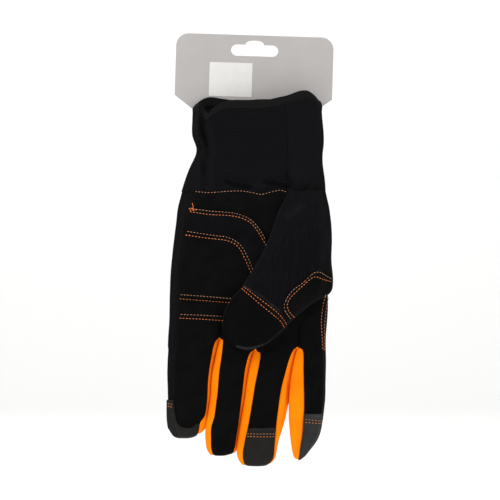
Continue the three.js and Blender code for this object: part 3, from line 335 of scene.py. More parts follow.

# %% [markdown]
# ## Charcoal patches
#
# The fingertips wear patches of grained synthetic leather. The grain is pressed in by a heated
# roller as little cells about 0.7 mm wide, which a Voronoi texture draws. It is smoother than the
# suede, so it has a faint soft highlight. Three dye lots are used: grey, a warmer dark grey and, on
# the thumb, nearly black with a paler rim, which is a painted highlight.


# %% Patch finish
def grained_leather(name, dark, light, highlight_colour, gloss):
    """A pressed grain on a clouded colour, painted paler as a highlight where the panel's attribute
    says.
    """
    finish, tree, surface, place = start_finish(name, Roughness=0.62, Specular_IOR_Level=gloss)
    cells = add(tree, "ShaderNodeTexVoronoi", {"Vector": place, "Scale": 1 / (0.7 * MM)})
    cloud = add(tree, "ShaderNodeTexNoise", {"Vector": place, "Scale": 1 / (6 * MM), "Detail": 4})
    ramp = two_tone(tree, surface, cloud.outputs[0], dark, light)
    # Painted highlight: paler along the rims of the patches.
    marked(tree, surface, ramp, highlight_colour)
    relief(tree, surface, cells.outputs["Distance"], 0.1)
    return finish


# The third colour of each patch is its painted highlight.
grey_patch = grained_leather("grey_grained_synthetic_leather", "#202021", "#2f3030", "#464646", 0.08)
brown_patch = grained_leather("warm_grained_synthetic_leather", "#151413", "#211f1e", "#353331", 0.07)
black_patch = grained_leather("black_grained_synthetic_leather", "#040405", "#09090a", "#2c2c2e", 0.02)
print("patches:", grey_patch.name, brown_patch.name, black_patch.name)

# %% [markdown]
# ## Thread
#
# The seams are sewn with orange polyester thread, 0.4 mm thick, twisted from fine yarns. The twist
# is finer than the picture can show, so a noise 0.4 mm wide stands for it and lets the colour run
# from pale to deep orange along each stitch. Polyester yarn has a soft gloss, so a stitch stands out
# from the dull suede. The outer row of each pair is paler, the thread that dips between two
# stitches is painted a dark red as the shade in its needle holes, and a sewn knot is bright.


# %% Thread finishes
def polyester(name, dark, light):
    """A thread whose colour runs from dark to light along each stitch."""
    finish, tree, surface, place = start_finish(
        name, Roughness=0.5, Specular_IOR_Level=0.4, Sheen_Weight=0.15, Sheen_Roughness=0.3)
    twist = add(tree, "ShaderNodeTexNoise", {"Vector": place, "Scale": 1 / (0.4 * MM), "Detail": 2})
    two_tone(tree, surface, twist.outputs[0], dark, light)
    relief(tree, surface, twist.outputs[0], 0.08)
    return finish


thread = polyester("orange_polyester_thread", "#a03c08", "#ff9a48")
pale_thread = polyester("faded_polyester_thread", "#8a5232", "#f0b488")
# Painted shade: the thread where it dips between stitches is dark, as the shade in its holes.
sunk_thread_shade = polyester("sunk_polyester_thread_painted_shade", "#200a03", "#4a1806")
bright_thread = polyester("bright_polyester_thread", "#c04a04", "#ff8a1c")
print("threads:", thread.name, pale_thread.name, sunk_thread_shade.name, bright_thread.name)

# %% [markdown]
# ## Board, label and fastener
#
# The card is board coated with white clay, which gives it an even, softly shining face. Its pulp
# shows as very faint clouds 20 mm wide. The label is plain paper, a little rougher, with clouds of
# 5 mm. The fastener is a moulded plastic post, smooth and milky, that the cuff hides.

# %% Card finishes
card_board, tree, surface, place = start_finish(
    "coated_board", Roughness=0.45, Specular_IOR_Level=0.4)
pulp = add(tree, "ShaderNodeTexNoise", {"Vector": place, "Scale": 1 / (20 * MM), "Detail": 5})
fine_pulp = add(tree, "ShaderNodeTexNoise", {"Vector": place, "Scale": 1 / (0.8 * MM), "Detail": 3})
two_tone(tree, surface, pulp.outputs[0], "#9d9a99", "#a9a5a3")
relief(tree, surface, fine_pulp.outputs[0], 0.02)
label_paper, tree, surface, place = start_finish(
    "label_paper", Roughness=0.6, Specular_IOR_Level=0.35)
pulp = add(tree, "ShaderNodeTexNoise", {"Vector": place, "Scale": 1 / (5 * MM), "Detail": 5})
two_tone(tree, surface, pulp.outputs[0], "#cbc9c6", "#d6d4d1")
relief(tree, surface, pulp.outputs[0], 0.03)
post_plastic, tree, surface, place = start_finish(
    "moulded_plastic", Roughness=0.35, Specular_IOR_Level=0.5)
flow = add(tree, "ShaderNodeTexNoise", {"Vector": place, "Scale": 1 / (3 * MM), "Detail": 2})
two_tone(tree, surface, flow.outputs[0], "#d4d4d0", "#e2e2de")
relief(tree, surface, flow.outputs[0], 0.02)
print("card finishes:", card_board.name, label_paper.name, post_plastic.name)

# %% [markdown]
# ## Where the seams run
#
# Each seam is a short list of picture points. A ray from the camera through each point finds the
# panel that it lies on, so the seam can't miss the cloth. The points are joined by a smooth curve
# and cut into short equal steps.

# %% Seam lines
seam_lines = {
    "wrist": [(195, 191.5), (210, 192.6), (226.5, 191.4), (241.5, 191), (254.4, 193.2), (261.5, 194.4),
              (273, 191.6), (281, 190.4), (287.5, 192.6)],
    "band_upper": [(192, 208.6), (211, 211.2), (234, 213.2), (249.3, 218.9), (259, 228.7),
                   (265.6, 240)],
    "band_lower": [(189.3, 211.5), (208, 214.4), (228, 215.5), (242.4, 218.4), (253.9, 226.1),
                   (266, 245)],
    "pad_upper": [(186.4, 231.3), (212.6, 235.3), (229.2, 237.9), (240.7, 245.4), (247.6, 257.4),
                  (252.7, 269.5)],
    "pad_lower": [(185, 235), (208, 238.2), (227.5, 240.8), (238.4, 247.1), (245.3, 259.7),
                  (251, 272.3)],
    "pad_end_upper": [(180, 294.6), (205, 296.4), (231, 298.6)],
    "pad_end_lower": [(179.2, 298.7), (204, 300.6), (229, 302.6)],
    "root_upper": [(180, 314.4), (202, 315.2), (222, 316.4)],
    "root_lower": [(178.8, 318), (202, 319.2), (222.6, 320.6)],
    "thumb_tip_inner": [(243.4, 286.4), (259.5, 298.8), (275.9, 311.3), (283.6, 319.7), (286.6, 325)],
    "thumb_tip_outer": [(241.5, 288.3), (260, 304), (279, 319.7), (284, 327)],
    "saddle_outer": [(331.2, 278.7), (316.5, 272.2), (302.7, 283), (293.5, 289.8), (288, 296.7),
                     (284.7, 303.6), (285, 310.5), (291, 319.3)],
    "saddle_inner": [(331.4, 281.8), (325, 280), (314, 277.2), (303.5, 285.2), (295, 293), (289.7, 299),
                     (287.2, 305), (289, 311.3), (294.3, 317.4)],
    "index_side_inner": [(325.6, 294.8), (323, 306), (321.4, 319.7), (321.8, 332.7), (323, 350.3)],
    "index_side_outer": [(328.7, 297), (326.4, 307.4), (324.6, 325), (324.4, 336.5), (324.3, 350.3)],
    "middle_tip_upper": [(247, 433.8), (261, 434), (275.4, 433.9)],
    "middle_tip_lower": [(246.8, 436.5), (261, 436.9), (275.2, 436.7)],
    "index_tip_upper": [(304.8, 419.3), (321.6, 421.2)],
    "index_tip_lower": [(304.8, 422.4), (321.4, 423.6)],
    "little_tip_upper": [(167.2, 403.2), (173.2, 404.6)],
    "little_tip_lower": [(167, 406), (172.6, 407.3)],
}
print("seam lines:", len(seam_lines))


# %% Smooth curves
CURVE_STEPS = 24


def curve_through(points, step):
    """Even steps along a smooth curve through points, as an array."""
    rows = np.array(points, float)
    padded = np.vstack([2 * rows[0] - rows[1], rows, 2 * rows[-1] - rows[-2]])
    fine = []
    for i in range(1, len(padded) - 2):
        a, b, c, d = padded[i - 1:i + 3]
        for t in np.linspace(0, 1, CURVE_STEPS, endpoint=False):
            fine.append(0.5 * (2 * b + (c - a) * t + (2 * a - 5 * b + 4 * c - d) * t * t
                               + (3 * b - a - 3 * c + d) * t ** 3))
    fine.append(rows[-1])
    fine = np.array(fine)
    run = np.concatenate([[0], np.cumsum(np.linalg.norm(np.diff(fine, axis=0), axis=1))])
    marks = np.linspace(0, run[-1], max(2, int(run[-1] / step) + 1))
    return np.stack([np.interp(marks, run, fine[:, k]) for k in range(fine.shape[1])], axis=1)


print("points of the wrist seam:", len(curve_through(seam_lines["wrist"], 1.0)))

# %% Seams on the cloth
GAP_DEPTH = 2.4 * MM


def surface_tree(objects):
    """One search tree over the triangles of several objects."""
    corners, faces = [], []
    for item in objects:
        start = len(corners)
        corners.extend(v.co.copy() for v in item.data.vertices)
        faces.extend([start + i for i in face.vertices] for face in item.data.polygons)
    return BVHTree.FromPolygons(corners, faces)


def cast_line(tree, points, step_px=1.0, spread_px=0.0):
    """A line of picture points laid on a surface, as places and outward normals. With a spread
    it lies on the highest cloth close beside it, so that it bridges a gap between two panels."""
    places, normals = [], []
    for px, py in curve_through(points, step_px):
        found = []
        for right, down in ((0, 0), (1, 0), (-1, 0), (0, 1), (0, -1)):
            ray = picture_ray(px + right * spread_px, py + down * spread_px)
            hit, normal, _, _ = tree.ray_cast(camera.location, ray)
            if hit and (not found or found[0][0] - hit.y < GAP_DEPTH):
                found.append((hit.y, normal))
        if found:
            y, normal = min(found, key=lambda row: row[0])
            ray = picture_ray(px, py)
            places.append(camera.location + ray * (y - camera.location.y) / ray.y)
            normals.append(normal if normal.y < 0 else -normal)
    return np.array(places), np.array(normals)


plain_tree = surface_tree([bpy.data.objects[name] for name in glove_nodes])
seam_places = {name: cast_line(plain_tree, points)[0] for name, points in seam_lines.items()}
print("seam points on the cloth:", sum(len(row) for row in seam_places.values()))

# %% [markdown]
# ## Smooth panels
#
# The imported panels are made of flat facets. A copy is merged, its triangles are joined to four
# sided faces and a Subdivision Surface rounds them. Subdivision shrinks a form a little, so the
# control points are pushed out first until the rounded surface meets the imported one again. Sharp
# rims keep their edge with a crease. The elastic's packed ribs are levelled, as finer ones follow.


# %% Points of a mesh
def set_places(mesh, places):
    """Move a mesh's points to an array of places."""
    mesh.vertices.foreach_set("co", np.asarray(places, np.float32).ravel())
    mesh.update()


def get_places(mesh):
    """A mesh's points as an array of places."""
    places = np.empty(len(mesh.vertices) * 3, np.float32)
    mesh.vertices.foreach_get("co", places)
    return places.reshape(-1, 3).astype(float)


print("points of the packed palm:", len(get_places(bpy.data.objects["palm_panel"].data)))

# %% Rims and ribs
SHARP = math.radians(60)
WIDEST_RIM = 2.8 * MM
OPPOSED = -0.5    # the product of two normals that point away from each other
PACKED_RIB_DEPTH = 0.6 * MM


def extend_rims(bm, reach):
    """Let a panel's cut rims run on along their own normals. reach maps a normal to a length."""
    normals = {}
    for face in bm.faces:
        beyond = [other.normal for edge in face.edges if edge.calc_face_angle(0) > SHARP
                  for other in edge.link_faces if other != face]
        opposed = any(a.dot(b) < OPPOSED for a in beyond for b in beyond)
        wide = face.calc_area() / max(edge.calc_length() for edge in face.edges)
        if opposed and wide < WIDEST_RIM:
            for vert in face.verts:
                normals.setdefault(vert, []).append(face.normal.copy())
    for vert, found in normals.items():
        outward = sum(found, Vector()).normalized()
        vert.co += outward * reach(outward)


def flatten_ribs(bm):
    """Average each row with the rows above and below, which levels ribs that alternate."""
    level = {}
    for vert in bm.verts:
        beside = [edge.other_vert(vert).co for edge in vert.link_edges]
        rows = [co for co in beside if abs(co.z - vert.co.z) > 2 * abs(co.x - vert.co.x)
                and abs(co.y - vert.co.y) < PACKED_RIB_DEPTH]
        if len(rows) == 2:
            level[vert] = (2 * vert.co.y + rows[0].y + rows[1].y) / 4
    for vert, y in level.items():
        vert.co.y = y


print("a rim is narrower than", round(WIDEST_RIM / MM, 1), "mm")

# %% Smooth copy
MERGE_DISTANCE = 0.002 * MM
JOIN_TILT = math.radians(50)
JOIN_SHAPE = math.radians(140)
SMOOTH_LEVELS = 3
CORRECTION_ROUNDS = 2
CORRECTION_SHARE = 0.9


def smooth_copy(node, name, reach):
    """A rounded copy of a packed panel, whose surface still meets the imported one."""
    mesh = bpy.data.objects[node].data.copy()
    piece = bpy.data.objects.new(name, mesh)
    bpy.context.collection.objects.link(piece)
    bm = bmesh.new()
    bm.from_mesh(mesh)
    bmesh.ops.remove_doubles(bm, verts=bm.verts, dist=MERGE_DISTANCE)
    bmesh.ops.join_triangles(
        bm, faces=bm.faces, angle_face_threshold=JOIN_TILT, angle_shape_threshold=JOIN_SHAPE)
    crease = bm.edges.layers.float.new("crease_edge")
    for edge in bm.edges:
        if len(edge.link_faces) == 2 and edge.calc_face_angle(0) > SHARP:
            edge[crease] = 1
    bm.normal_update()
    extend_rims(bm, reach)
    if node == "cuff_elastic_panel":
        flatten_ribs(bm)
    bm.to_mesh(mesh)
    bm.free()
    subdivide = piece.modifiers.new("smooth", "SUBSURF")
    subdivide.levels = subdivide.render_levels = SMOOTH_LEVELS
    wanted = get_places(mesh)
    control = wanted.copy()
    for _ in range(CORRECTION_ROUNDS):
        rounded = piece.evaluated_get(bpy.context.evaluated_depsgraph_get()).data
        control += CORRECTION_SHARE * (wanted - get_places(rounded)[:len(wanted)])
        set_places(mesh, control)
        bpy.context.view_layer.update()
    bpy.context.view_layer.objects.active = piece
    piece.select_set(True)
    bpy.ops.object.modifier_apply(modifier="smooth")
    bpy.ops.object.shade_smooth()
    bpy.ops.object.select_all(action="DESELECT")
    return piece


print("subdivisions of a panel:", SMOOTH_LEVELS)

# %% [markdown]
# ## Folds, puckers and drift
#
# Cloth that hangs is never even. Three kinds of relief are moved into the panels: long folds from
# a short table, each a valley or a ridge along a picture line; small puckers where the seams draw
# the cloth in; and a slow drift, a sum of soft waves. Simulating one panel at a time would pull the
# seams open, so formulas move the points instead. All of them depend on the place alone, so layers
# that lie on each other move together and never cross.

# %% Fold table
# Width and depth are in mm, and a ridge has a depth below 0.
fold_lines = [
    {"line": [(200.6, 121), (203.6, 133.6), (205.9, 145), (208.4, 157)], "width": 1.5, "depth": 2.2},
    {"line": [(227, 182), (238, 185), (250, 187)], "width": 1.4, "depth": 2.4},
    {"line": [(266, 182), (278, 185), (289, 188)], "width": 1.4, "depth": 2.4},
    {"line": [(287.5, 176), (290.5, 181), (292, 187)], "width": 1.2, "depth": 1.6},
    {"line": [(286.7, 112), (288.5, 150), (290.5, 182)], "width": 0.7, "depth": 0.5},
    {"line": [(321, 175), (310, 186), (297, 199)], "width": 1.0, "depth": 0.6},
    {"line": [(252, 183), (258, 188), (266, 188)], "width": 2.0, "depth": -0.9},
    {"line": [(232, 160), (248, 166), (262, 172)], "width": 4.0, "depth": 0.5},
    {"line": [(195, 191.5), (188.3, 205), (184.4, 233.6), (180.6, 264), (178.3, 299), (174.6, 346),
              (173.2, 388), (174.5, 402)], "width": 0.7, "depth": 0.5},
    {"line": [(301.6, 207), (296, 211), (289.8, 215.4)], "width": 1.0, "depth": -0.5},
]
print("folds:", len(fold_lines))

# %% Drift
DRIFT_SIZES = [(60, 0.35), (26, 0.2), (11, 0.07)]    # length and height of the waves in mm
WAVES_OF_A_SIZE = 7
WAVES_TOGETHER = 2.6    # seven waves add up to about this many times one
drift_random = np.random.default_rng(11)
drift_waves = []
for size_mm, height_mm in DRIFT_SIZES:
    for _ in range(WAVES_OF_A_SIZE):
        heading = drift_random.normal(size=3)
        heading *= 2 * math.pi / (size_mm * MM * np.linalg.norm(heading))
        push = drift_random.normal(size=3) * height_mm * MM / WAVES_TOGETHER
        drift_waves.append((heading, drift_random.uniform(0, 2 * math.pi), push))


def drift(places):
    """How far the slow waves carry each place."""
    moved = np.zeros_like(places)
    for heading, phase, push in drift_waves:
        moved += np.sin(places @ heading + phase)[:, None] * push
    return moved


print("drift waves:", len(drift_waves))


# %% Soft formulas
def bell(distance, width):
    """1 where the distance is 0, falling smoothly to nearly 0 at twice the width."""
    return np.exp(-(distance / width) ** 2)


def soft_step(amount):
    """From 0 where the amount is well below 0 to 1 where it is well above."""
    return 1 / (1 + np.exp(-amount))


print("a bell at its width:", round(float(bell(1.0, 1.0)), 2))

# %% Relief of folds and seams
GROOVE_DEPTH = 0.32 * MM
GROOVE_WIDTH = 0.9 * MM
PUCKER_DEPTH = 0.09 * MM
PUCKER_WIDTH = 2.6 * MM
PUCKER_PITCH = 4.4 * MM
SEAM_FIELD = 5 * MM


def nearest_on(line, places, reach):
    """The places near a line seen from the front, with their distance from it and run along it."""
    tree = KDTree(len(line))
    run = np.concatenate([[0], np.cumsum(np.linalg.norm(np.diff(line, axis=0), axis=1))])
    for i, (x, _, z) in enumerate(line):
        tree.insert((x, 0, z), i)
    tree.balance()
    low, high = line.min(0) - reach, line.max(0) + reach
    near = np.where((places[:, 0] > low[0]) & (places[:, 0] < high[0]) & (places[:, 2] > low[2])
                    & (places[:, 2] < high[2]) & (places[:, 1] < high[1]))[0]
    found = [tree.find((places[i, 0], 0, places[i, 2])) for i in near]
    gap = np.array([row[2] for row in found])
    along = run[[row[1] for row in found]] if len(found) else np.array([])
    return near, gap, along


def sewn_relief(places):
    """How far the front moves back (+Y) at each place."""
    back = np.zeros(len(places))
    for fold, line in zip(fold_lines, fold_places):
        near, gap, _ = nearest_on(line, places, 3 * fold["width"] * MM)
        if len(near):
            back[near] += fold["depth"] * MM * bell(gap, fold["width"] * MM)
    for line in seam_places.values():
        near, gap, along = nearest_on(line, places, SEAM_FIELD)
        if len(near):
            pucker = PUCKER_DEPTH * bell(gap, PUCKER_WIDTH) * np.sin(2 * math.pi * along / PUCKER_PITCH)
            back[near] += GROOVE_DEPTH * bell(gap, GROOVE_WIDTH) + pucker
    return back


fold_places = [cast_line(plain_tree, row["line"])[0] for row in fold_lines]
print("fold points:", sum(len(row) for row in fold_places))

# %% [markdown]
# ## Side walls that press on each other
#
# Between two fingers their side walls touch along a crease. The imported walls meet straight, but
# real ones lean over each other, and near the tips one finger's wall bulges over its neighbour.
# Sculpting that by hand would have to match on both walls. Instead both follow one touch line:
# about it the front halves shift one way and the rear halves the other, and a bulge swings by
# picture row. Where the last crease opens, the rear of its walls is squeezed together. The same
# lines tell how deep in a crease a place lies, and the finish paints shade there by that.

# %% Finger gaps
# Touch lines in picture points from the crotch down, swings as picture rows and shifts in mm, and
# squeezes as picture rows and shares.
NOWHERE = [(0, 0.0), (PICTURE, 0.0)]
finger_gaps = [
    {"line": [(220.8, 338.5), (218.5, 346), (214.5, 361.6), (211.7, 381.7), (210.2, 404),
              (209.1, 426.3), (208.2, 448.7)],
     "swing": [(395, 0.0), (413, -1.5), (436, -2.4), (450, -1.8), (462, -0.6)],
     "squeeze": NOWHERE},
    {"line": [(255.2, 350), (252.4, 358.8), (248.9, 375.9), (245.3, 397.8), (242.2, 422.2),
              (239.5, 446.6), (238.7, 471)],
     "swing": [(400, 0.0), (431, -2.0), (450, -2.4), (467, -1.3)],
     "squeeze": NOWHERE},
    {"line": [(297.4, 347.5), (294.5, 356.4), (291.1, 373.4), (288.9, 395.4), (287.4, 412)],
     "swing": NOWHERE,
     "squeeze": [(376, 0.0), (386, 0.9), (402, 0.9), (411, 0.0)]},
]
START_LEAD = 2 * MM
START_SOFTNESS = 1 * MM
LOW_Z = -240 * MM    # a line that ends above this fades out there, and the others run to the tips
END_SOFTNESS = 4 * MM


def beside_touch_lines(places):
    """For each line: how far a place is to its right, how much the line holds there from 0 to 1,
    how far the place is below its start, and how the walls swing and are squeezed there."""
    row = PICTURE / 2 - (places[:, 2] - VIEW_CENTRE.z) * PICTURE / VIEW_WIDTH
    for gap in finger_gaps:
        fine = curve_through(gap["line"], step=2.0)
        x = (fine[:, 0] - PICTURE / 2) * VIEW_WIDTH / PICTURE + VIEW_CENTRE.x
        z = (PICTURE / 2 - fine[:, 1]) * VIEW_WIDTH / PICTURE + VIEW_CENTRE.z
        right = places[:, 0] - np.interp(-places[:, 2], -z, x)
        below = z[0] - places[:, 2]
        inside = soft_step((below + START_LEAD) / START_SOFTNESS)
        if z[-1] > LOW_Z:
            inside *= soft_step((places[:, 2] - z[-1]) / END_SOFTNESS)
        swing, squeeze = [np.interp(row, *zip(*gap[key])) for key in ("swing", "squeeze")]
        yield right, inside, below, swing, squeeze


print("finger gaps:", len(finger_gaps))

# %% Leaning walls and creases
FINGER_MIDDLE_Y = -8.5 * MM
TOUCH_SHIFT = 1.15 * MM
TOUCH_DEPTH = 1.2 * MM
TOUCH_WIDTH = 2.2 * MM
SWING_DEPTH = 3.7 * MM
SWING_WIDTH = 2.7 * MM
SQUEEZE_WIDTH = 2.6 * MM
CREASE_START = 2.4 * MM
CREASE_SOFTNESS = 0.6 * MM
CREASE_WIDTH = 0.42 * MM
CREASE_AMOUNT = 0.75
SQUEEZED_CREASE_WIDTH = 1.1 * MM


def pressed_walls(places):
    """How far the walls shift along X to lean over each other, bulge and close."""
    moved = np.zeros(len(places))
    behind = places[:, 1] - FINGER_MIDDLE_Y
    lean = np.tanh(behind / TOUCH_DEPTH)
    rear = soft_step(behind / TOUCH_DEPTH)
    for right, inside, _, swing, squeeze in beside_touch_lines(places):
        moved += TOUCH_SHIFT * inside * lean * bell(right, TOUCH_WIDTH)
        moved += swing * MM * inside * bell(behind, SWING_DEPTH) * bell(right, SWING_WIDTH)
        moved -= squeeze * right * rear * bell(right, SQUEEZE_WIDTH)
    return moved


def crease_shade(places):
    """From 0 to 1, how much painted shade a place gets deep in the crease between two fingers."""
    mark = np.zeros(len(places))
    for right, inside, below, _, squeeze in beside_touch_lines(places):
        started = soft_step((below - CREASE_START) / CREASE_SOFTNESS)
        mark = np.maximum(mark, CREASE_AMOUNT * inside * started * bell(right, CREASE_WIDTH))
        mark = np.maximum(mark, squeeze * bell(right, SQUEEZED_CREASE_WIDTH))
    return mark


print("crease width:", CREASE_WIDTH / MM, "mm")

# %% [markdown]
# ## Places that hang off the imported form
#
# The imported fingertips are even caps, but real ones tip over or flatten, and the cuff's edge stands
# up at its rear and dips at its notch. A short table pulls such places by a few millimetres, as a
# sculpting brush would. It says where, how wide and which way, and whether all of the tube follows
# or only its front, its rear or its middle, with the depth where that changes.

# %% Pulls
# Every measure is in mm: the place and the move along X and Z, the reach, and the depth along Y.
pulls = [
    {"at": (-34.5, -261.5), "reach": 6.0, "move": (-3.6, 3.6), "side": "front", "depth": -10},
    {"at": (-38.0, -268.5), "reach": 5.5, "move": (-1.2, 1.4), "side": "all", "depth": 0},
    {"at": (-13.4, -279.7), "reach": 5.0, "move": (0.0, 1.5), "side": "all", "depth": 0},
    {"at": (11.6, -287.8), "reach": 4.5, "move": (-1.0, 1.5), "side": "all", "depth": 0},
    {"at": (30.2, -280.0), "reach": 4.5, "move": (0.0, -3.0), "side": "middle", "depth": -8},
    {"at": (38.5, -278.5), "reach": 8.0, "move": (-1.9, 0.2), "side": "all", "depth": 0},
    {"at": (-31.0, -41.5), "reach": 7.5, "move": (0.0, 2.3), "side": "rear", "depth": -10},
    {"at": (-33.6, -49.0), "reach": 3.5, "move": (0.0, -3.0), "side": "front", "depth": -12},
    {"at": (-42.5, -41.5), "reach": 4.5, "move": (1.6, -1.4), "side": "all", "depth": 0},
]
MIDDLE_REACH = 4.5


def hanging(places):
    """How far the table of pulls carries each place."""
    moved = np.zeros_like(places)
    for pull in pulls:
        x, z = pull["at"]
        near = (((places[:, 0] - x * MM) ** 2 + (places[:, 2] - z * MM) ** 2)
                / (pull["reach"] * MM) ** 2)
        behind = (places[:, 1] - pull["depth"] * MM) / MM
        held = {"front": soft_step(-behind), "rear": soft_step(behind),
                "middle": bell(behind, MIDDLE_REACH), "all": 1}[pull["side"]]
        moved[:, 0] += pull["move"][0] * MM * np.exp(-near) * held
        moved[:, 2] += pull["move"][1] * MM * np.exp(-near) * held
    return moved


print("pulls:", len(pulls))

# %% [markdown]
# ## Painted highlights
#
# Suede and grained leather are painted paler as highlights where they catch the light: along the
# thumb's lower edge, on the rims of the patches and on the fold at the thumb's root. Such places
# are lines with a width in mm and an amount, which become the same point attribute that the
# painted crease shade uses.

# %% Painted highlight table
highlight_lines = [
    {"line": [(237, 346.6), (247, 348.4), (258.4, 346.6), (272.4, 338.6), (285, 327.6)],
     "width": 0.7, "amount": 0.9},
    {"line": [(245.3, 286), (262, 297.5), (279.7, 311.3)], "width": 0.35, "amount": 0.8},
    {"line": [(301.6, 207), (296, 211), (289.8, 215.4)], "width": 2.2, "amount": 0.12},
    {"line": [(310.3, 270.7), (316.5, 268.8), (325, 273)], "width": 0.35, "amount": 0.6},
    {"line": [(248, 429), (262, 428.8), (275.6, 429.4)], "width": 0.4, "amount": 0.5},
    {"line": [(304.7, 415), (314, 416), (323.5, 417.2)], "width": 0.4, "amount": 0.5},
]
highlight_places = [cast_line(plain_tree, row["line"])[0] for row in highlight_lines]


def highlight_mark(places):
    """From 0 to 1, how much painted highlight a place gets."""
    mark = np.zeros(len(places))
    for row, line in zip(highlight_lines, highlight_places):
        near, gap, _ = nearest_on(line, places, 3 * row["width"] * MM)
        if len(near):
            mark[near] = np.maximum(mark[near], row["amount"] * bell(gap, row["width"] * MM))
    return mark


print("painted highlight points:", sum(len(row) for row in highlight_places))

# %% [markdown]
# ## What single panels need
#
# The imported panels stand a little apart, so the cut rims of each copy run on by 0.24 mm to meet
# their neighbours in the seam, and the binding's lower rim runs on further over the cuff. The
# elastic, whose packed ribs are coarser, gets its real fine ones. The top of the thumb and the side
# walls between two fingers are lifted by about a millimetre, which closes slits there.

# %% Shapes of single panels
SEAM_REACH = 0.24 * MM
BINDING_REACH = 1.1 * MM
RIB_HEIGHT = 0.09 * MM
THUMB_TOP_Z = -104 * MM
THUMB_LIFT = 1.2 * MM
THUMB_LIFT_HEIGHT = 4 * MM
CROTCH_LIFT = 1.0 * MM
CROTCH_WIDTH = 5 * MM
CROTCH_HEIGHT = 3.5 * MM
crotches = [(-21.7, -200.9), (2.5, -209.0), (29.3, -207.0)]    # X and Z in mm


def panel_reach(node):
    """How far a panel's rims run on, as a function of the way that a rim faces."""
    if node == "cuff_binding":
        return lambda normal: BINDING_REACH if normal.z < -0.5 else 0
    return lambda normal: SEAM_REACH


def own_shape(node, places):
    """What one panel needs beside the fields that all panels share."""
    moved = np.zeros_like(places)
    if node == "cuff_elastic_panel":
        moved[:, 1] -= RIB_HEIGHT * np.cos(2 * math.pi * places[:, 2] / RIB_PITCH)
    if node == "thumb_shell":
        moved[:, 2] += THUMB_LIFT * bell(places[:, 2] - THUMB_TOP_Z, THUMB_LIFT_HEIGHT)
    if node.startswith("fourchette"):
        for x, z in crotches:
            near = (((places[:, 0] - x * MM) / CROTCH_WIDTH) ** 2
                    + ((places[:, 2] - z * MM) / CROTCH_HEIGHT) ** 2)
            moved[:, 2] += CROTCH_LIFT * np.exp(-near)
    return moved


print("lifted crotches:", len(crotches))

# %% [markdown]
# ## The panels of the glove
#
# Every panel is dressed in the same way: copied, moved by all the fields at once, marked with painted
# light and shade, and given its finish. Three subdivisions give faces 0.3 to 0.7 mm wide, about as
# fine as the picture's pixels.


# %% Dressing a panel
def dress(node, finish, slot_name):
    """Replace a packed panel by a finished cloth one."""
    piece = smooth_copy(node, node + "_cloth", panel_reach(node))
    places = get_places(piece.data)
    shifted = places + drift(places) + own_shape(node, places) + hanging(places)
    shifted[:, 0] += pressed_walls(places)
    shifted[:, 1] += sewn_relief(places)
    set_places(piece.data, shifted)
    # The mark is painted shade in the side walls' creases and painted highlights on the other panels.
    mark = crease_shade(places) if node.startswith("fourchette") else highlight_mark(places)
    painted_light_attribute = piece.data.attributes.new("mark", "FLOAT", "POINT")
    painted_light_attribute.data.foreach_set("value", mark.astype(np.float32))
    piece.data.materials.clear()
    piece.data.materials.append(finish)
    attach(piece, "root")
    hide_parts(node)
    print(piece.name, len(piece.data.polygons), "faces")
    return piece


# %% Panels
panel_table = {
    "cuff_elastic_panel": (cuff_elastic, "elastic"),
    "cuff_plain_panel": (back_knit, "knit"),
    "cuff_binding": (cuff_tape, "binding"),
    "palm_panel": (palm_suede, "palm_suede"),
    "palm_band_patch": (band_suede, "palm_suede"),
    "palm_pad_patch": (palm_suede, "palm_suede"),
    "back_panel": (back_knit, "knit"),
    "fourchette_little_ring": (side_wall, "fourchette"),
    "fourchette_ring_middle": (side_wall, "fourchette"),
    "fourchette_middle_index": (side_wall, "fourchette"),
    "thumb_shell": (thumb_suede, "thumb_suede"),
    "thumb_tip_patch": (black_patch, "tip_patch"),
    "thumb_saddle_patch": (palm_suede, "tip_patch"),
    "little_tip_patch": (brown_patch, "tip_patch"),
    "middle_tip_patch": (brown_patch, "tip_patch"),
    "index_tip_patch": (grey_patch, "tip_patch"),
}
dressed = {node: dress(node, *row) for node, row in panel_table.items()}
print("dressed panels:", len(dressed))

# %% [markdown]
# ## Stitches
#
# A lockstitch shows as a row of short threads that dip into the cloth at both ends. One stitch is
# modelled from a six sided cylinder whose ends are scaled down and pushed back, and then copied
# along every seam. A stitch is 1.2 mm long and 0.4 mm thick, and they are 2.2 mm apart. A thinner
# tube runs along the whole seam below them: it is the thread where it dips between two stitches,
# painted dark as the shade there.

# %% One stitch
STITCH_PITCH = 2.2 * MM
STITCH_LENGTH = 1.2 * MM
THREAD_RADIUS = 0.21 * MM
END_TAPER = 0.55
END_DIP = 0.3 * MM
bpy.ops.mesh.primitive_cylinder_add(
    vertices=6, radius=THREAD_RADIUS, depth=STITCH_LENGTH, rotation=(0, math.pi / 2, 0))
stitch = bpy.context.object
bpy.ops.object.transform_apply(location=True, rotation=True)
bpy.ops.object.mode_set(mode="EDIT")
for share in (-0.3, 0.0, 0.3):
    bpy.ops.mesh.select_all(action="SELECT")
    bpy.ops.mesh.bisect(plane_co=(share * STITCH_LENGTH, 0, 0), plane_no=(1, 0, 0))
bpy.ops.object.mode_set(mode="OBJECT")
stitch_places = get_places(stitch.data)
end = np.abs(stitch_places[:, 0]) / (STITCH_LENGTH / 2)
stitch_places[:, 1:] *= (1 - END_TAPER * end ** 3)[:, None]
stitch_places[:, 2] -= END_DIP * end ** 2.5
stitch_faces = [list(face.vertices) for face in stitch.data.polygons]
bpy.data.objects.remove(stitch)
print("one stitch:", len(stitch_faces), "faces")


# %% Thread shapes
TUBE_SIDES = 5


def direction(vector):
    """A vector at length 1."""
    return vector / max(np.linalg.norm(vector), 1e-9)


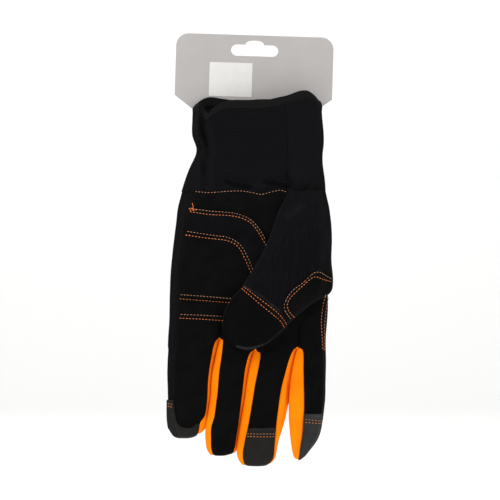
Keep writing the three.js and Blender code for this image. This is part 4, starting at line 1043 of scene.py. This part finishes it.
def tube(places, normals, radius, lift):
    """Corners and faces of a thin closed tube that lies along a line on the cloth."""
    corners, faces = [], []
    for i, (place, outward) in enumerate(zip(places, normals)):
        ahead = direction(places[min(i + 1, len(places) - 1)] - places[max(i - 1, 0)])
        aside = np.cross(outward, ahead)
        for turn in np.arange(TUBE_SIDES) * 2 * math.pi / TUBE_SIDES:
            round_it = math.cos(turn) * aside + math.sin(turn) * np.cross(ahead, aside)
            corners.append(place + outward * lift + round_it * radius)
        if i:
            low, high = (i - 1) * TUBE_SIDES, i * TUBE_SIDES
            for k in range(TUBE_SIDES):
                beside = (k + 1) % TUBE_SIDES
                faces.append([low + k, low + beside, high + beside, high + k])
    faces.append(list(range(TUBE_SIDES))[::-1])
    faces.append([len(corners) - TUBE_SIDES + k for k in range(TUBE_SIDES)])
    return corners, faces


def thread_piece(name, corners, faces, finishes, finish_of_face, slot_name="thread"):
    """A piece of thread, as an object that rides with the glove."""
    mesh = bpy.data.meshes.new(name)
    mesh.from_pydata([tuple(c) for c in corners], [], faces)
    for finish in finishes:
        mesh.materials.append(finish)
    mesh.polygons.foreach_set("material_index", finish_of_face)
    mesh.shade_smooth()
    piece = bpy.data.objects.new(name, mesh)
    bpy.context.collection.objects.link(piece)
    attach(piece, "root")
    return piece


print("sides of a sunk thread:", TUBE_SIDES)

# %% Sewing
SUNK_THICKNESS = 0.4
STITCH_LIFT = 0.14 * MM
FADED_THICKNESS = 0.75


def sew(name, tree, points, finish, thickness=1.0):
    """A row of stitches along picture points, laid on the finished cloth."""
    places, normals = cast_line(tree, points, step_px=0.5, spread_px=0.6)
    run = np.concatenate([[0], np.cumsum(np.linalg.norm(np.diff(places, axis=0), axis=1))])
    corners, faces = tube(places[::2], normals[::2], SUNK_THICKNESS * THREAD_RADIUS, 0.0)
    sunk_faces = len(faces)
    for mark in np.arange(STITCH_PITCH / 2, run[-1], STITCH_PITCH):
        middle, before, after = [
            np.array([np.interp(m, run, places[:, k]) for k in range(3)])
            for m in (mark, mark - STITCH_LENGTH / 2, mark + STITCH_LENGTH / 2)]
        outward = np.array([np.interp(mark, run, normals[:, k]) for k in range(3)])
        ahead = direction(after - before)
        outward -= ahead * (outward @ ahead)
        outward /= np.linalg.norm(outward)
        aside = np.cross(outward, ahead)
        turned = (stitch_places * (1, thickness, thickness)) @ np.array([ahead, aside, outward])
        start = len(corners)
        corners.extend(turned + middle + outward * STITCH_LIFT)
        faces.extend([start + i for i in face] for face in stitch_faces)
    # The sunk thread takes the painted shade finish.
    finish_of_face = [1] * sunk_faces + [0] * (len(faces) - sunk_faces)
    return thread_piece("stitches_" + name, corners, faces, (finish, sunk_thread_shade), finish_of_face)


cloth_tree = surface_tree(dressed.values())
faded_seams = ("wrist", "band_upper", "pad_upper", "pad_end_upper", "root_upper", "saddle_outer",
               "index_side_outer", "middle_tip_upper", "index_tip_upper", "little_tip_upper")
sewn = []
for name, points in seam_lines.items():
    if name in faded_seams:
        sewn.append(sew(name, cloth_tree, points, pale_thread, FADED_THICKNESS))
    else:
        sewn.append(sew(name, cloth_tree, points, thread))
print("stitch faces:", sum(len(piece.data.polygons) for piece in sewn))

# %% [markdown]
# ## Knots and loose ends
#
# A seam starts with a few stitches sewn to and fro, so that it can't come undone. They lie on each
# other as a small bright lump. The first seam of the band keeps its cut thread end, which stands
# up from the lump, and a dark thread end sticks out of the binding's join.

# %% Knots and thread ends
KNOT_THICKNESS = 1.25
END_THICKNESS = 0.9
END_LIFT = 0.3 * MM
knots = {
    "knot_band_low": [(188.4, 208.4), (196.4, 209.9)],
    "knot_band_high": [(188.8, 209.8), (195.4, 210.4)],
    "knot_band_cross": [(190.0, 207.4), (195.0, 210.2)],
    "knot_pad": [(184.9, 234.9), (191.2, 235.6)],
}
for name, points in knots.items():
    sewn.append(sew(name, cloth_tree, points, bright_thread, KNOT_THICKNESS))
loose_ends = {
    "band_thread_end": (
        [(191.0, 208.8), (193.4, 207.6), (192.9, 205.2), (192.4, 203.2)], bright_thread, "thread"),
    "binding_thread_end": (
        [(312.0, 94.6), (314.4, 94.4), (316.6, 95.8)], cuff_tape, "binding"),
}
for name, (points, finish, slot_name) in loose_ends.items():
    places, normals = cast_line(cloth_tree, points, step_px=0.6)
    corners, faces = tube(places, normals, END_THICKNESS * THREAD_RADIUS, END_LIFT)
    thread_piece(name, corners, faces, (finish,), [0] * len(faces), slot_name)
print("knots and ends:", len(knots) + len(loose_ends))

# %% [markdown]
# ## The card, its label and the fastener
#
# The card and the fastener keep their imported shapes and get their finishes. The label is a thin
# sheet of paper stuck on the card. It is made from a cube that is flattened to the label's size and
# turned with it, and its edges get a tiny bevel, so that they catch the light as cut paper does.

# %% Card and fastener
for node, finish in {"hang_card": card_board, "card_pin": post_plastic}.items():
    mesh = bpy.data.objects[node].data
    mesh.materials.clear()
    mesh.materials.append(finish)
print("card and fastener: finished")

# %% Label
CARD_FRONT = -0.3 * MM
LABEL_TURN = math.radians(1.8)
LABEL_THICKNESS = 0.1 * MM
LABEL_STAND_OFF = 0.06 * MM    # from the card to the middle of the paper
LABEL_EDGE = 0.03 * MM
label_low = Vector((-31, 0, -37.9)) * MM
label_high = Vector((-2, 0, -14.9)) * MM
bpy.ops.mesh.primitive_cube_add(size=1, location=(
    (label_low.x + label_high.x) / 2, CARD_FRONT - LABEL_STAND_OFF, (label_low.z + label_high.z) / 2))
label = bpy.context.object
label.name = "blank_label"
label.scale = (label_high.x - label_low.x, LABEL_THICKNESS, label_high.z - label_low.z)
label.rotation_euler = (0, LABEL_TURN, 0)
bpy.ops.object.transform_apply(location=True, rotation=True, scale=True)
soften = label.modifiers.new("soft_edge", "BEVEL")
soften.width = LABEL_EDGE
soften.segments = 2
bpy.ops.object.modifier_apply(modifier="soft_edge")
label.data.materials.append(label_paper)
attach(label, "root")
bpy.ops.object.select_all(action="DESELECT")
print("label faces:", len(label.data.polygons))
